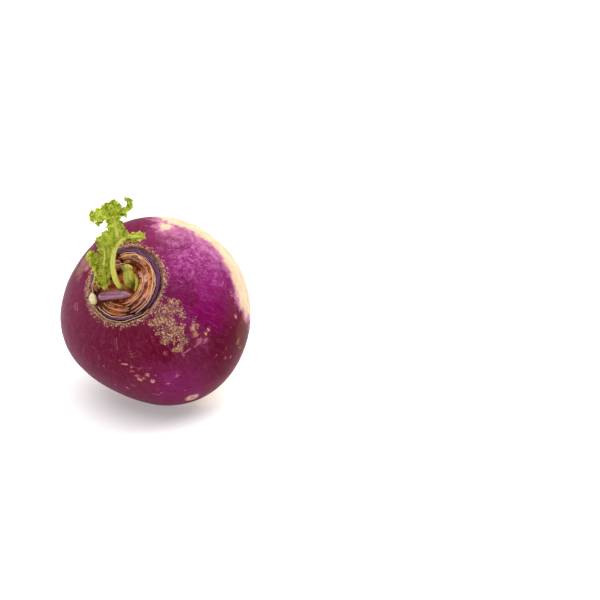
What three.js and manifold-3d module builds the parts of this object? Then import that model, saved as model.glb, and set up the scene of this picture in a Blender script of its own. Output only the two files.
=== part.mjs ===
// A purple-top turnip with two young leaves, lying on its side on a small flat spot.
//
// Units are millimetres, +Z is up, and the origin is the middle of the flat spot that it rests on.
// Two local frames carry the shapes:
//   root frame   origin in the middle of the swollen root, z along its axis towards the crown
//   crown frame  the same axes, with the origin raised to the crown plate: [u, v, w]
// Angles round the axis run from +u towards +v, in degrees.
import * as THREE from "three";
import { mergeVertices } from "three/addons/utils/BufferGeometryUtils.js";
import Module from "manifold-3d";

const wasm = await Module();
wasm.setup();

// ---- How the turnip lies ----
const AXIS_FROM_UPRIGHT = 47.2; // degrees, the crown leaning towards -Y
const AXIS_TURN = -23; // degrees about +Z, the crown turned towards -X
const FLAT_DEPTH = 0.9; // how much the flat spot takes off the round underside

// ---- Swollen root ----
const EQUATOR_RADIUS = 38;
const CROWN_HEIGHT = 34.5; // from the middle to the top, if the crown were not sunk
const ROOT_DEPTH = 34; // from the middle to the flattened root end
const SHOULDER_POWER = 2.35;
const ROOT_END_POWER = 2.6;
const ROUND_STEPS = 54;

// Broad swellings (+) and flats (-) of the grown shape: the angle from the crown, the angle round
// the axis, and the share of the radius that each adds in its middle.
const SWELLINGS = [
  { polar: 98, around: -109, amount: -0.065 },
  { polar: 96, around: -94, amount: -0.022 },
  { polar: 113, around: -64, amount: 0.052 },
  { polar: 112, around: -30, amount: 0.029 },
  { polar: 80, around: -149, amount: 0.022 },
  { polar: 79, around: -128, amount: 0.031 },
  { polar: 66, around: 167, amount: -0.053 },
  { polar: 81, around: 77, amount: -0.008 },
];
const SWELLING_FOCUS = 8;

// ---- Crown plate and the corky ring round it ----
const PLATE_HEIGHT = 31.6;
const PLATE_RADIUS = 14.8;
const PLATE_WALL = 1.0;
const PLATE_SHIFT = [0.4, 0.2]; // the crown is a little off the axis
const CORK_RADIUS = 16.3;
const CORK_WIDTH = 1.0;
const CORK_RISE = 0.7;
const CORK_UNEVENNESS = 0.25;

// ---- Tap root ----
const TAIL_LENGTH = 22;
const TAIL_RADIUS = 1.7;
const TAIL_END_RADIUS = 0.9;
const TAIL_FLARES = [
  { radius: 3.2, fade: 3.2 },
  { radius: 2.6, fade: 0.8 },
];
const TAIL_BEND = [2.5, 6];

// ---- Crown growth ----
const SEAT_GAP = 0.3; // clearance between the crown plate and what grows on it
const FRONT = [0.43, -0.19, 0.88]; // the side that most leaf faces turn to, in the crown frame

// Cut leaf bases and leaf scars: arcs on the crown plate round the point (u, v), from one angle
// to another. Each row is name, u, v, radius, from, to, height, thickness.
const LEAF_BASES = [
  ["leaf_scar_outer", 0.3, 0.2, 13.75, 124, -36, 1.6, 1.6],
  ["leaf_scar_lower", 0.3, 0.2, 13.8, -41, -127, 1.2, 1.1],
  ["leaf_scar_left", 0.3, 0.2, 13.75, 128, 206, 1.4, 1.2],
  ["leaf_base_right_outer", 0.3, -0.1, 11.65, 122, -62, 3.0, 1.9],
  ["leaf_base_right_middle", 0.3, -0.1, 9.5, 112, -54, 1.9, 2.1],
  ["leaf_base_right_inner", 0.3, -0.1, 7.5, 60, -82, 3.3, 1.6],
  ["leaf_base_lower_outer", 0.3, -0.1, 11.6, -67, -124, 1.9, 2.0],
  ["leaf_base_lower_inner", 0.3, -0.1, 9.5, -60, -126, 1.5, 1.9],
  ["leaf_base_upper", 0.1, 0, 11.6, 126, 157, 2.6, 1.9],
  ["leaf_base_left", 0.1, 0, 11.6, 161, 204, 2.2, 1.9],
  ["leaf_base_left_inner", 0.1, 0, 9.4, 116, 192, 1.7, 2.1],
  ["leaf_base_middle", 0.1, 0, 7.3, 98, 182, 2.2, 1.7],
  ["bud_scale", 0.5, -0.5, 5.7, 72, -22, 4.4, 1.0],
];

// Rounded pieces that follow a line of [u, v, w] points.
const CUT_STALK = {
  name: "cut_stalk",
  line: [[-8.2, -7.2, 2.6], [-5.0, -6.1, 3.0], [-1.5, -5.0, 3.1], [2.0, -4.2, 2.9],
    [4.9, -3.9, 2.3]],
  halfWidth: 2.1,
  halfDepth: 1.4,
  facing: [0, 0, 1],
  bluntness: 0.36,
  endShare: 0.62,
};
const SIDE_BUD = {
  name: "side_bud",
  line: [[-9.4, -9.3, SEAT_GAP], [-9.5, -8.9, 3.0], [-9.2, -7.9, 5.6], [-8.7, -7.0, 7.6]],
  halfWidth: 1.75,
  halfDepth: 1.2,
  facing: FRONT,
  bluntness: 0.62,
  endShare: 0.4,
};
const CROWN_BUD = {
  name: "crown_bud",
  line: [[2.6, -0.8, SEAT_GAP], [2.8, 1.1, 3.6], [2.6, 3.8, 6.6], [2.2, 6.4, 8.4]],
  halfWidth: 1.95,
  halfDepth: 1.3,
  facing: [0.3, -0.8, 0.5],
  bluntness: 0.38,
};

// Leaves: stalks that narrow from `radius` to `endRadius`, and lobes that each follow their own
// line out of a stalk. `turn` swings a lobe's face away from FRONT, in degrees, from root to tip.
const LEAF_THICKNESS = 0.75;
const TALL_LEAF = {
  name: "tall_leaf",
  stalks: [
    {
      line: [[0.1, -2.0, SEAT_GAP], [-0.3, -1.4, 4.4], [-0.7, -0.2, 7.9], [-0.7, 3.2, 13.3],
        [0, 7.0, 16.9], [1.6, 9.9, 19.6], [3.3, 11.9, 20.6], [5.1, 13.7, 20.3], [7.0, 14.7, 19.0],
        [9.0, 15.7, 17.2]],
      radius: 1.3,
      endRadius: 0.55,
    },
    {
      line: [[0.5, 8.4, 17.9], [1.7, 11.5, 20.4], [1.8, 14.4, 23.4], [1.5, 16.9, 26.2],
        [1.4, 19.4, 28.2]],
      radius: 0.85,
      endRadius: 0.5,
    },
  ],
  lobes: [
    {
      line: [[1.7, 10.4, 19.6], [1.6, 14.2, 23.4], [1.5, 16.9, 26.2], [1.4, 19.1, 28.1]],
      width: 2.9, waves: 3, ruffle: 0.55, turn: [10, -20],
    },
    {
      line: [[2.0, 11.6, 20.4], [3.9, 14.1, 21.2], [5.4, 15.3, 21.2]],
      width: 1.6, waves: 1.5, ruffle: 0.4, turn: [0, 30],
    },
    {
      line: [[1.4, 19.3, 28.4], [-1.3, 18.3, 30.3], [-3.6, 16.4, 31.5], [-5.9, 15.1, 32.5]],
      width: 2.4, waves: 2.6, ruffle: 0.6, turn: [0, 25],
    },
    {
      line: [[-0.8, 18.2, 29.6], [-2.5, 15.3, 30.0], [-3.5, 13.5, 29.6]],
      width: 1.1, waves: 1.5, ruffle: 0.3, turn: [0, 30],
    },
    {
      line: [[1.3, 19.2, 28.4], [-0.6, 20.5, 30.9], [-1.8, 21.4, 32.4]],
      width: 2.0, waves: 2, ruffle: 0.5, turn: [-20, -40],
    },
    {
      line: [[1.4, 19.4, 28.4], [0.8, 21.8, 30.5], [0.4, 23.4, 31.8]],
      width: 2.0, waves: 2, ruffle: 0.5, turn: [15, 35],
    },
    {
      line: [[1.4, 19.4, 28.4], [2.5, 22.2, 28.9], [3.2, 23.2, 28.9]],
      width: 1.3, waves: 1.5, ruffle: 0.3, turn: [0, -30],
    },
    {
      line: [[1.4, 19.4, 28.4], [3.4, 21.3, 27.2], [5.2, 23.1, 26.5], [5.8, 24.7, 27.0],
        [5.0, 25.6, 28.2], [3.9, 25.5, 29.1]],
      width: 1.1, waves: 3, ruffle: 0.35, turn: [0, 40],
    },
    {
      line: [[1.5, 19.0, 28.0], [3.2, 20.6, 26.4], [4.8, 20.3, 24.7]],
      width: 0.95, waves: 1.5, ruffle: 0.3, turn: [0, -30],
    },
    {
      line: [[4.0, 13.2, 19.3], [7.1, 14.8, 18.1], [10.0, 16.7, 16.2]],
      width: 1.7, waves: 2, ruffle: 0.45, turn: [0, 20],
    },
    {
      line: [[1.8, 10.6, 20.0], [-0.1, 11.0, 22.2], [-1.4, 12.0, 23.8], [-2.2, 13.2, 24.9]],
      width: 1.9, waves: 2, ruffle: 0.5, turn: [-10, -35],
    },
  ],
};
const LOW_LEAF = {
  name: "low_leaf",
  stalks: [
    {
      line: [[-6.2, -3.4, SEAT_GAP], [-6.3, -2.9, 4.7], [-5.9, -0.4, 8.5], [-4.9, 2.4, 12.0],
        [-3.9, 5.8, 15.2], [-3.8, 8.7, 18.5]],
      radius: 1.1,
      endRadius: 0.5,
    },
    {
      line: [[-5.9, -1.6, 7.7], [-7.3, -0.9, 9.9], [-8.1, 0.9, 12.7], [-9.3, 2.9, 15.5],
        [-10.5, 4.0, 17.7]],
      radius: 0.7,
      endRadius: 0.4,
    },
  ],
  lobes: [
    {
      line: [[-4.9, 3.2, 12.9], [-3.8, 6.7, 15.7], [-4.1, 9.6, 18.2], [-5.4, 12.1, 20.9]],
      width: 2.5, waves: 3, ruffle: 0.6, turn: [0, -25],
    },
    {
      line: [[-5.5, 0.6, 9.9], [-6.7, 2.2, 12.8], [-8.5, 3.9, 15.7], [-9.9, 5.1, 18.2]],
      width: 2.4, waves: 2.6, ruffle: 0.55, turn: [10, 40],
    },
    {
      line: [[-4.7, 3.2, 12.8], [-6.0, 4.7, 15.5], [-7.3, 5.6, 17.3]],
      width: 1.8, waves: 2, ruffle: 0.45, turn: [0, -30],
    },
    {
      line: [[-5.4, 1.7, 10.3], [-4.0, 5.5, 11.2], [-3.8, 8.6, 13.0], [-3.5, 11.4, 15.2]],
      width: 1.9, waves: 2.6, ruffle: 0.5, turn: [0, 20],
    },
    {
      line: [[-6.1, -2.6, 5.6], [-7.2, -1.9, 8.2], [-8.1, -0.9, 10.4]],
      width: 1.7, waves: 2, ruffle: 0.45, turn: [0, 25],
    },
    {
      line: [[-5.2, -1.6, 8.3], [-4.0, 0.7, 9.6], [-3.4, 2.9, 11.1]],
      width: 1.4, waves: 2, ruffle: 0.35, turn: [0, -20],
    },
    {
      line: [[-5.6, -2.7, 6.4], [-5.3, -0.4, 10.4], [-4.9, 2.1, 13.5]],
      width: 1.5, waves: 2.6, ruffle: 0.45, turn: [0, 15],
    },
    {
      line: [[-5.8, -3.0, 5.4], [-4.6, -1.7, 6.3], [-3.8, -0.4, 7.4]],
      width: 1.2, waves: 1.5, ruffle: 0.35, turn: [0, -15],
    },
  ],
};

// ---- Colours ----
const COLOURS = {
  skin: 0x7b2a63,
  scar: 0x4f2348,
  base: 0xb07a5a,
  stalk: 0x8f5f82,
  sideBud: 0xd8cf9b,
  bud: 0x8c9a35,
  leaf: 0x9cbb2c,
};

const radians = THREE.MathUtils.degToRad;
const { lerp, smoothstep } = THREE.MathUtils;
const vector = (list) => new THREE.Vector3(...list);
const curveThrough = (line) => new THREE.CatmullRomCurve3(line.map(vector));

// ---- Geometry to solid and back ----

// A closed geometry as a solid, whichever way its faces are wound.
function solidFrom(geometry) {
  const bare = geometry.clone();
  bare.deleteAttribute("normal");
  bare.deleteAttribute("uv");
  const merged = mergeVertices(bare, 1e-4);
  const corners = Array.from(merged.index.array);
  const faces = [];
  for (let i = 0; i < corners.length; i += 3) {
    const [a, b, c] = corners.slice(i, i + 3);
    if (a !== b && b !== c && c !== a) faces.push([a, b, c]);
  }
  const build = (triangles) =>
    new wasm.Manifold(
      new wasm.Mesh({
        numProp: 3,
        vertProperties: new Float32Array(merged.attributes.position.array),
        triVerts: new Uint32Array(triangles.flat()),
      }),
    );
  const solid = build(faces);
  return solid.volume() > 0 ? solid : build(faces.map(([a, b, c]) => [a, c, b]));
}

function geometryFrom(solid) {
  const mesh = solid.getMesh();
  const geometry = new THREE.BufferGeometry();
  const vertices = Float32Array.from(mesh.vertProperties);
  geometry.setAttribute("position", new THREE.BufferAttribute(vertices, 3));
  geometry.setIndex(new THREE.BufferAttribute(Uint32Array.from(mesh.triVerts), 1));
  geometry.computeVertexNormals();
  return geometry;
}

// One solid of several. A hollow that they seal between them is filled.
function fused(geometries) {
  const whole = geometries.map(solidFrom).reduce((sum, part) => sum.add(part));
  const shells = whole.decompose().sort((a, b) => b.volume() - a.volume());
  return geometryFrom(shells[0]);
}

// Moves every vertex of a geometry to where place(vertex, uvX, uvY) says.
function reshape(geometry, place) {
  const { position, uv } = geometry.attributes;
  const vertex = new THREE.Vector3();
  for (let i = 0; i < position.count; i++) {
    vertex.fromBufferAttribute(position, i);
    const moved = place(vertex, uv.getX(i), uv.getY(i));
    position.setXYZ(i, moved.x, moved.y, moved.z);
  }
  return geometry;
}

// ---- Swollen root with its tap root ----

// Height of the crown side above the middle, at a distance from the axis.
function crownSide(radius) {
  const shoulder = CROWN_HEIGHT * Math.sqrt(1 - (radius / EQUATOR_RADIUS) ** SHOULDER_POWER);
  const wall = smoothstep(radius, PLATE_RADIUS, PLATE_RADIUS + PLATE_WALL);
  const cork = CORK_RISE * Math.exp(-(((radius - CORK_RADIUS) / CORK_WIDTH) ** 2));
  return lerp(PLATE_HEIGHT, shoulder + cork, wall);
}

const rootSide = (radius) =>
  -ROOT_DEPTH * Math.sqrt(1 - (radius / EQUATOR_RADIUS) ** ROOT_END_POWER);

function tailRadius(depth) {
  const slim = lerp(TAIL_RADIUS, TAIL_END_RADIUS, depth / TAIL_LENGTH);
  return TAIL_FLARES.reduce((sum, flare) => sum + flare.radius * Math.exp(-depth / flare.fade), slim);
}

// Half outline of the root, from the tip of the tail up to the middle of the crown plate.
function rootOutline() {
  const steps = 11;
  const tailTop = rootSide(tailRadius(0));
  const outline = [new THREE.Vector2(0, tailTop - TAIL_LENGTH - 0.4)];
  for (let i = steps; i >= 1; i--) {
    const depth = TAIL_LENGTH * (i / steps) ** 1.7;
    outline.push(new THREE.Vector2(tailRadius(depth), tailTop - depth));
  }
  const ringEdge = CORK_RADIUS + 2.2 * CORK_WIDTH;
  const equator = Math.PI / 2;
  const lowest = Math.asin(tailRadius(0) / EQUATOR_RADIUS);
  const highest = Math.asin(ringEdge / EQUATOR_RADIUS);
  for (let i = 0; i < steps; i++) {
    const radius = EQUATOR_RADIUS * Math.sin(lerp(lowest, equator, i / steps));
    outline.push(new THREE.Vector2(radius, rootSide(radius)));
  }
  for (let i = 0; i < steps; i++) {
    const radius = EQUATOR_RADIUS * Math.sin(lerp(equator, highest, i / steps));
    outline.push(new THREE.Vector2(radius, crownSide(radius)));
  }
  for (const radius of [ringEdge, 17.9, 17.2, 16.6, 16.1, 15.7, PLATE_RADIUS, 8]) {
    outline.push(new THREE.Vector2(radius, crownSide(radius)));
  }
  outline.push(new THREE.Vector2(0, PLATE_HEIGHT));
  return outline;
}

function direction(polar, around) {
  const out = Math.sin(radians(polar));
  const turn = radians(around);
  return vector([out * Math.cos(turn), out * Math.sin(turn), Math.cos(radians(polar))]);
}

function growthAt(point) {
  const out = point.clone().normalize();
  return SWELLINGS.reduce((sum, { polar, around, amount }) => {
    const nearness = (1 + out.dot(direction(polar, around))) / 2;
    return sum + amount * nearness ** SWELLING_FOCUS;
  }, 1);
}

// Uneven height of the corky ring: slow and quick waves round the axis.
function corkUnevenness(point) {
  const radius = Math.hypot(point.x, point.y);
  const turn = Math.atan2(point.y, point.x);
  const near = Math.exp(-(((radius - CORK_RADIUS) / CORK_WIDTH) ** 2));
  const waves = Math.sin(5 * turn + 1) + 0.7 * Math.sin(11 * turn) + 0.5 * Math.sin(19 * turn + 2);
  return point.z > 0 ? CORK_UNEVENNESS * near * waves : 0;
}

function rootGeometry() {
  const lathe = new THREE.LatheGeometry(rootOutline(), ROUND_STEPS);
  lathe.rotateX(Math.PI / 2);
  return reshape(lathe, (point) => {
    const grown = point.clone().multiplyScalar(growthAt(point));
    grown.z += corkUnevenness(point);
    const nearCrown = point.z > 0 ? 1 - smoothstep(Math.hypot(point.x, point.y), 18, 34) : 0;
    const downTail = Math.max(0, -point.z - ROOT_DEPTH) / TAIL_LENGTH;
    grown.x += PLATE_SHIFT[0] * nearCrown + TAIL_BEND[0] * downTail ** 2;
    grown.y += PLATE_SHIFT[1] * nearCrown + TAIL_BEND[1] * downTail ** 2;
    return grown;
  });
}

// ---- Rounded strips: stalks, buds and cut leaf bases ----

// Two directions across a curve at t: `face` points as nearly as it can to `facing`, and `side`
// lies square to it.
function acrossCurve(curve, t, facing) {
  const tangent = curve.getTangent(t);
  const side = new THREE.Vector3().crossVectors(tangent, facing).normalize();
  const face = new THREE.Vector3().crossVectors(side, tangent).normalize();
  return { side, face };
}

const boxed = (x, squareness) => Math.sign(x) * Math.abs(x) ** squareness;

// A closed strip along `curve` with rounded ends. Its section is an oval at squareness 1 and
// nearer a box below that. A seated strip stands on the curve instead of round it.
function roundedStrip({
  curve, halfWidth, halfDepth, facing, bluntness,
  steps = 12, endShare = 1, squareness = 1, seated = false,
}) {
  return reshape(new THREE.SphereGeometry(1, 8, steps), (_, uvX, uvY) => {
    const t = 1 - uvY;
    const angle = 2 * Math.PI * uvX;
    const size = (4 * t * (1 - t)) ** bluntness * lerp(1, endShare, t);
    const out = size * boxed(Math.cos(angle), squareness);
    const up = size * (boxed(Math.sin(angle), squareness) + (seated ? 1 : 0));
    const { side, face } = acrossCurve(curve, t, vector(facing));
    return curve
      .getPoint(t)
      .addScaledVector(side, halfWidth * out)
      .addScaledVector(face, halfDepth * up);
  });
}

function leafBaseGeometry([, u, v, radius, from, to, height, thickness]) {
  const line = [0, 0.2, 0.4, 0.6, 0.8, 1].map((share) => {
    const angle = radians(lerp(from, to, share));
    return [u + radius * Math.cos(angle), v + radius * Math.sin(angle), SEAT_GAP];
  });
  return roundedStrip({
    curve: curveThrough(line),
    halfWidth: thickness / 2,
    halfDepth: height / 2,
    facing: [0, 0, 1],
    bluntness: 0.36,
    steps: Math.max(10, Math.round(Math.abs(to - from) / 8)),
    squareness: 0.75,
    seated: true,
  });
}

const stalkGeometry = ({ line, radius, endRadius }) =>
  roundedStrip({
    curve: curveThrough(line),
    halfWidth: radius,
    halfDepth: radius,
    facing: FRONT,
    bluntness: 0.22,
    steps: line.length * 3,
    endShare: endRadius / radius,
  });

// ---- Leaf lobes: thin sheets with toothed, ruffled edges ----

// Share of the full width along a lobe, from its root (t = 0) to its tip (t = 1), with teeth.
function lobeWidth(t, teeth) {
  const outline = 0.3 + 0.7 * Math.sin(Math.PI * (0.1 + 0.78 * t)) ** 0.7;
  return outline * (1 + 0.17 * Math.sin(2 * Math.PI * teeth * t));
}

function lobeGeometry({ line, width, waves, ruffle, turn }) {
  const curve = curveThrough(line);
  const middle = (t, across) => {
    const tangent = curve.getTangent(t);
    const facing = vector(FRONT).applyAxisAngle(tangent, radians(lerp(turn[0], turn[1], t)));
    const { side, face } = acrossCurve(curve, t, facing);
    const edge = Math.abs(across);
    const wave = ruffle * edge ** 1.5 * Math.sin(2 * Math.PI * waves * t + (across > 0 ? 0 : 2));
    return curve
      .getPoint(t)
      .addScaledVector(side, width * lobeWidth(t, waves * 1.5) * across)
      .addScaledVector(face, wave + 0.22 * width * edge ** 2);
  };
  return closedSheet(Math.round(waves * 4) + 1, 4, middle, LEAF_THICKNESS);
}

// A closed sheet of even thickness round the surface middle(t, across), with t from 0 to 1 and
// across from -1 to 1. Both faces are split into triangles alike.
function closedSheet(lengthSteps, widthSteps, middle, thickness) {
  const grid = new THREE.PlaneGeometry(2, 2, lengthSteps, widthSteps);
  const { position, uv } = grid.attributes;
  const small = 0.01;
  const vertices = [];
  for (const side of [0.5, -0.5]) {
    for (let i = 0; i < position.count; i++) {
      const t = uv.getX(i);
      const across = 2 * uv.getY(i) - 1;
      const back = middle(Math.max(0, t - small), across);
      const ahead = middle(Math.min(1, t + small), across);
      const left = middle(t, across - small);
      const right = middle(t, across + small);
      const normal = ahead.sub(back).cross(right.sub(left)).normalize();
      vertices.push(...middle(t, across).addScaledVector(normal, side * thickness).toArray());
    }
  }
  const count = position.count;
  const faces = Array.from(grid.index.array);
  for (let i = faces.length - 3; i >= 0; i -= 3) {
    faces.push(faces[i] + count, faces[i + 2] + count, faces[i + 1] + count);
  }
  const row = lengthSteps + 1;
  const rim = [];
  for (let i = 0; i < lengthSteps; i++) rim.push(i);
  for (let j = 0; j < widthSteps; j++) rim.push(j * row + lengthSteps);
  for (let i = lengthSteps; i > 0; i--) rim.push(widthSteps * row + i);
  for (let j = widthSteps; j > 0; j--) rim.push(j * row);
  rim.forEach((a, i) => {
    const b = rim[(i + 1) % rim.length];
    faces.push(a, b, b + count, a, b + count, a + count);
  });
  const sheet = new THREE.BufferGeometry();
  sheet.setAttribute("position", new THREE.Float32BufferAttribute(vertices, 3));
  sheet.setIndex(faces);
  return sheet;
}

const leafGeometry = ({ stalks, lobes }) =>
  fused([...stalks.map(stalkGeometry), ...lobes.map(lobeGeometry)]);

// ---- Assembly ----

function piece(name, geometry, colour, roughness) {
  const material = new THREE.MeshStandardMaterial({ color: colour, roughness, metalness: 0 });
  const mesh = new THREE.Mesh(geometry, material);
  mesh.name = name;
  return mesh;
}

const turnip = new THREE.Group();
const lying = new THREE.Group();
const tilted = new THREE.Group();
const crown = new THREE.Group();
turnip.add(lying);
lying.add(tilted);
tilted.add(crown);
lying.rotation.z = radians(AXIS_TURN);
tilted.rotation.x = radians(AXIS_FROM_UPRIGHT);
crown.position.z = PLATE_HEIGHT;
turnip.updateMatrixWorld(true);

// Vertices of a geometry in the tilted frame, as they stand in the world.
function worldVertices(geometry) {
  const { position } = geometry.clone().applyMatrix4(tilted.matrixWorld).attributes;
  const vertexAt = (_, i) => new THREE.Vector3().fromBufferAttribute(position, i);
  return Array.from({ length: position.count }, vertexAt);
}

// A table cuts the flat spot, and the origin then goes to the middle of it.
const grownRoot = rootGeometry();
const tableHeight = Math.min(...worldVertices(grownRoot).map((point) => point.z)) + FLAT_DEPTH;
const table = new THREE.BoxGeometry(200, 200, 40);
table.translate(0, 0, tableHeight - 20);
table.applyMatrix4(tilted.matrixWorld.clone().invert());
const root = geometryFrom(solidFrom(grownRoot).subtract(solidFrom(table)));
const flatSpot = new THREE.Box3().setFromPoints(
  worldVertices(root).filter((point) => point.z < tableHeight + 1e-3),
);
const middleOfFlat = flatSpot.getCenter(new THREE.Vector3()).setZ(tableHeight);
lying.position.copy(middleOfFlat).negate();

tilted.add(piece("root", root, COLOURS.skin, 0.4));
for (const base of LEAF_BASES) {
  const [name] = base;
  const colour = name.startsWith("leaf_scar") ? COLOURS.scar : COLOURS.base;
  crown.add(piece(name, leafBaseGeometry(base), colour, 0.6));
}
for (const [shape, colour] of [
  [CUT_STALK, COLOURS.stalk],
  [SIDE_BUD, COLOURS.sideBud],
  [CROWN_BUD, COLOURS.bud],
]) {
  const geometry = roundedStrip({ ...shape, curve: curveThrough(shape.line) });
  crown.add(piece(shape.name, geometry, colour, 0.5));
}
for (const leaf of [TALL_LEAF, LOW_LEAF]) {
  crown.add(piece(leaf.name, leafGeometry(leaf), COLOURS.leaf, 0.5));
}

export default turnip;
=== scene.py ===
# A purple-top turnip with two young leaves, lying on its side: its finished surfaces.
#
# Shapes are worked out in millimetres in two local frames, and set in the row frame in metres:
#   root frame   origin in the middle of the swollen root, z along its axis towards the crown
#   crown frame  the same axes, with the origin raised to the crown plate: [u, v, w]
# Angles round the axis run from +u towards +v, in degrees.
import math
import random
from functools import reduce

import bmesh
import bpy
import numpy as np
from mathutils import Matrix, Vector, noise


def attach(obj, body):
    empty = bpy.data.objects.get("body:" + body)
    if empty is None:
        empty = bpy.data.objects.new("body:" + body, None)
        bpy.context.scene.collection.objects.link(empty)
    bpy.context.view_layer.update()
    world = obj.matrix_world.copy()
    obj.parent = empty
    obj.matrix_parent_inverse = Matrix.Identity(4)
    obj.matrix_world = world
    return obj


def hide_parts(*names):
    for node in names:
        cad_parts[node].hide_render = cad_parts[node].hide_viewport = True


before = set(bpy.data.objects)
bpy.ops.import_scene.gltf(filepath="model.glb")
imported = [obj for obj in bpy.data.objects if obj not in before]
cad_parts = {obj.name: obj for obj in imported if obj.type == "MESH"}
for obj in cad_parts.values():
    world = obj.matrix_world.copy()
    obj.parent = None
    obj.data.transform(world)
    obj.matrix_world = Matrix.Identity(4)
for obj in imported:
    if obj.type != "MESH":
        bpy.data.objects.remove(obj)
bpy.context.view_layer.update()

MILLIMETRE = 0.001
chance = random.Random(7)


def shown(name, data, place=(0, 0, 0), aim=None):
    """A new object in the scene. A camera or a lamp stands at `place` and looks at `aim`."""
    made = bpy.data.objects.new(name, data)
    made.location = place
    if aim:
        made.rotation_euler = (Vector(aim) - Vector(place)).to_track_quat("-Z", "Y").to_euler()
    bpy.context.scene.collection.objects.link(made)
    return made


# ---- Camera ----
CAMERA_PLACE = (0.05472, -0.592847, 0.344892)
CAMERA_AIM = (0.05472, 0.00487, 0.040339)

lens = bpy.data.cameras.new("camera")
lens.lens = 100
lens.sensor_width = 36
lens.clip_start = 0.01
bpy.context.scene.camera = shown("camera", lens, CAMERA_PLACE, CAMERA_AIM)
bpy.context.scene.view_settings.view_transform = "Standard"

# ---- How the turnip lies ----
MIDDLE = (-3.5625, 2.85944, 37.04163)  # of the swollen root, above the middle of the flat spot
AXIS_FROM_UPRIGHT = 47.2
AXIS_TURN = -23
PLATE_HEIGHT = 31.6

LYING = Matrix.Rotation(math.radians(AXIS_TURN), 4, "Z") @ Matrix.Rotation(
    math.radians(AXIS_FROM_UPRIGHT), 4, "X"
)
ROOT_PLACE = Matrix.Scale(MILLIMETRE, 4) @ Matrix.Translation(MIDDLE) @ LYING
CROWN_PLACE = ROOT_PLACE @ Matrix.Translation((0, 0, PLATE_HEIGHT))

# ---- Swollen root, its corky ring and its tap root ----
EQUATOR_RADIUS = 38
CROWN_HEIGHT = 34.5
ROOT_DEPTH = 34
SHOULDER_POWER = 2.35
ROOT_END_POWER = 2.6
SWELLINGS = [  # polar, around, share of the radius
    (98, -109, -0.065),
    (96, -94, -0.022),
    (113, -64, 0.052),
    (112, -30, 0.029),
    (80, -149, 0.022),
    (79, -128, 0.031),
    (66, 167, -0.053),
    (81, 77, -0.008),
]
SWELLING_FOCUS = 8
ROUND_STEPS = 360
PLATE_RADIUS = 14.8
PLATE_WALL = 1.0
PLATE_SHIFT = (0.4, 0.2)
CORK_RADIUS = 16.3
CORK_WIDTH = 1.0
CORK_RISE = 0.7
CORK_UNEVENNESS = 0.25
CORK_RELIEF_WIDTH = 1.1
TAIL_LENGTH = 22
TAIL_RADIUS = 1.7
TAIL_END_RADIUS = 0.9
TAIL_FLARES = [(3.2, 3.2), (2.6, 0.8)]
TAIL_BEND = (2.5, 6)

# ---- Crown growth ----
SEAT_GAP = 0.3
SHEATH_GAP = 0.15
SHEATH_THICKNESS = 0.2
BLADE_THICKNESS = 0.45
FRONT = np.array([0.43, -0.19, 0.88])

# name, u, v, radius, from, to, height, thickness
LEAF_BASES = [
    ("leaf_scar_outer", 0.3, 0.2, 13.75, 124, -36, 1.6, 1.6),
    ("leaf_scar_lower", 0.3, 0.2, 13.8, -41, -127, 1.2, 1.1),
    ("leaf_scar_left", 0.3, 0.2, 13.75, 128, 206, 1.4, 1.2),
    ("leaf_base_right_outer", 0.3, -0.1, 11.65, 122, -62, 3.0, 1.9),
    ("leaf_base_right_middle", 0.3, -0.1, 9.5, 112, -54, 1.9, 2.1),
    ("leaf_base_right_inner", 0.3, -0.1, 7.5, 60, -82, 3.3, 1.6),
    ("leaf_base_lower_outer", 0.3, -0.1, 11.6, -67, -124, 1.9, 2.0),
    ("leaf_base_lower_inner", 0.3, -0.1, 9.5, -60, -126, 1.5, 1.9),
    ("leaf_base_upper", 0.1, 0, 11.6, 126, 157, 2.6, 1.9),
    ("leaf_base_left", 0.1, 0, 11.6, 161, 204, 2.2, 1.9),
    ("leaf_base_left_inner", 0.1, 0, 9.4, 116, 192, 1.7, 2.1),
    ("leaf_base_middle", 0.1, 0, 7.3, 98, 182, 2.2, 1.7),
    ("bud_scale", 0.5, -0.5, 5.7, 72, -22, 4.4, 1.0),
]

# Thin dry sheaths that stand between the leaf bases: u, v, radius, from, to, height, lean
SHEATHS = [
    (0.3, -0.1, 12.75, 118, -52, 2.5, 0.15),
    (0.3, -0.1, 10.6, 114, -58, 2.5, 0.1),
    (0.3, -0.1, 8.4, 60, -70, 2.4, 0.1),
    (0.3, -0.1, 10.55, -62, -128, 1.9, 0.1),
    (0.3, -0.1, 8.45, -74, -122, 1.7, 0.1),
    (0.3, -0.1, 12.85, -56, -130, 1.7, 0.3),
    (0.3, 0.2, 14.75, -30, -134, 1.4, 0.25),
    (0.1, 0.0, 10.5, 119, 200, 2.2, 0.1),
    (0.1, 0.0, 12.8, 128, 210, 1.9, 0.3),
    (0.1, 0.0, 8.25, 100, 188, 2.0, 0.1),
]

CUT_STALK = dict(
    line=[(-8.2, -7.2, 2.6), (-5.0, -6.1, 3.0), (-1.5, -5.0, 3.1), (2.0, -4.2, 2.9), (4.9, -3.9, 2.3)],
    half_width=2.1, half_depth=1.4, facing=(0, 0, 1), bluntness=0.36, end_share=0.62,
)
SIDE_BUD = dict(
    line=[(-9.4, -9.3, SEAT_GAP), (-9.5, -8.9, 3.0), (-9.2, -7.9, 5.6), (-8.7, -7.0, 7.6)],
    half_width=1.75, half_depth=1.2, facing=FRONT, bluntness=0.62, end_share=0.4,
)
CROWN_BUD = dict(
    line=[(2.6, -0.8, SEAT_GAP), (2.8, 1.1, 3.6), (2.6, 3.8, 6.6), (2.2, 6.4, 8.4)],
    half_width=1.95, half_depth=1.3, facing=(0.3, -0.8, 0.5), bluntness=0.38, end_share=1.0,
)

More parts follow.
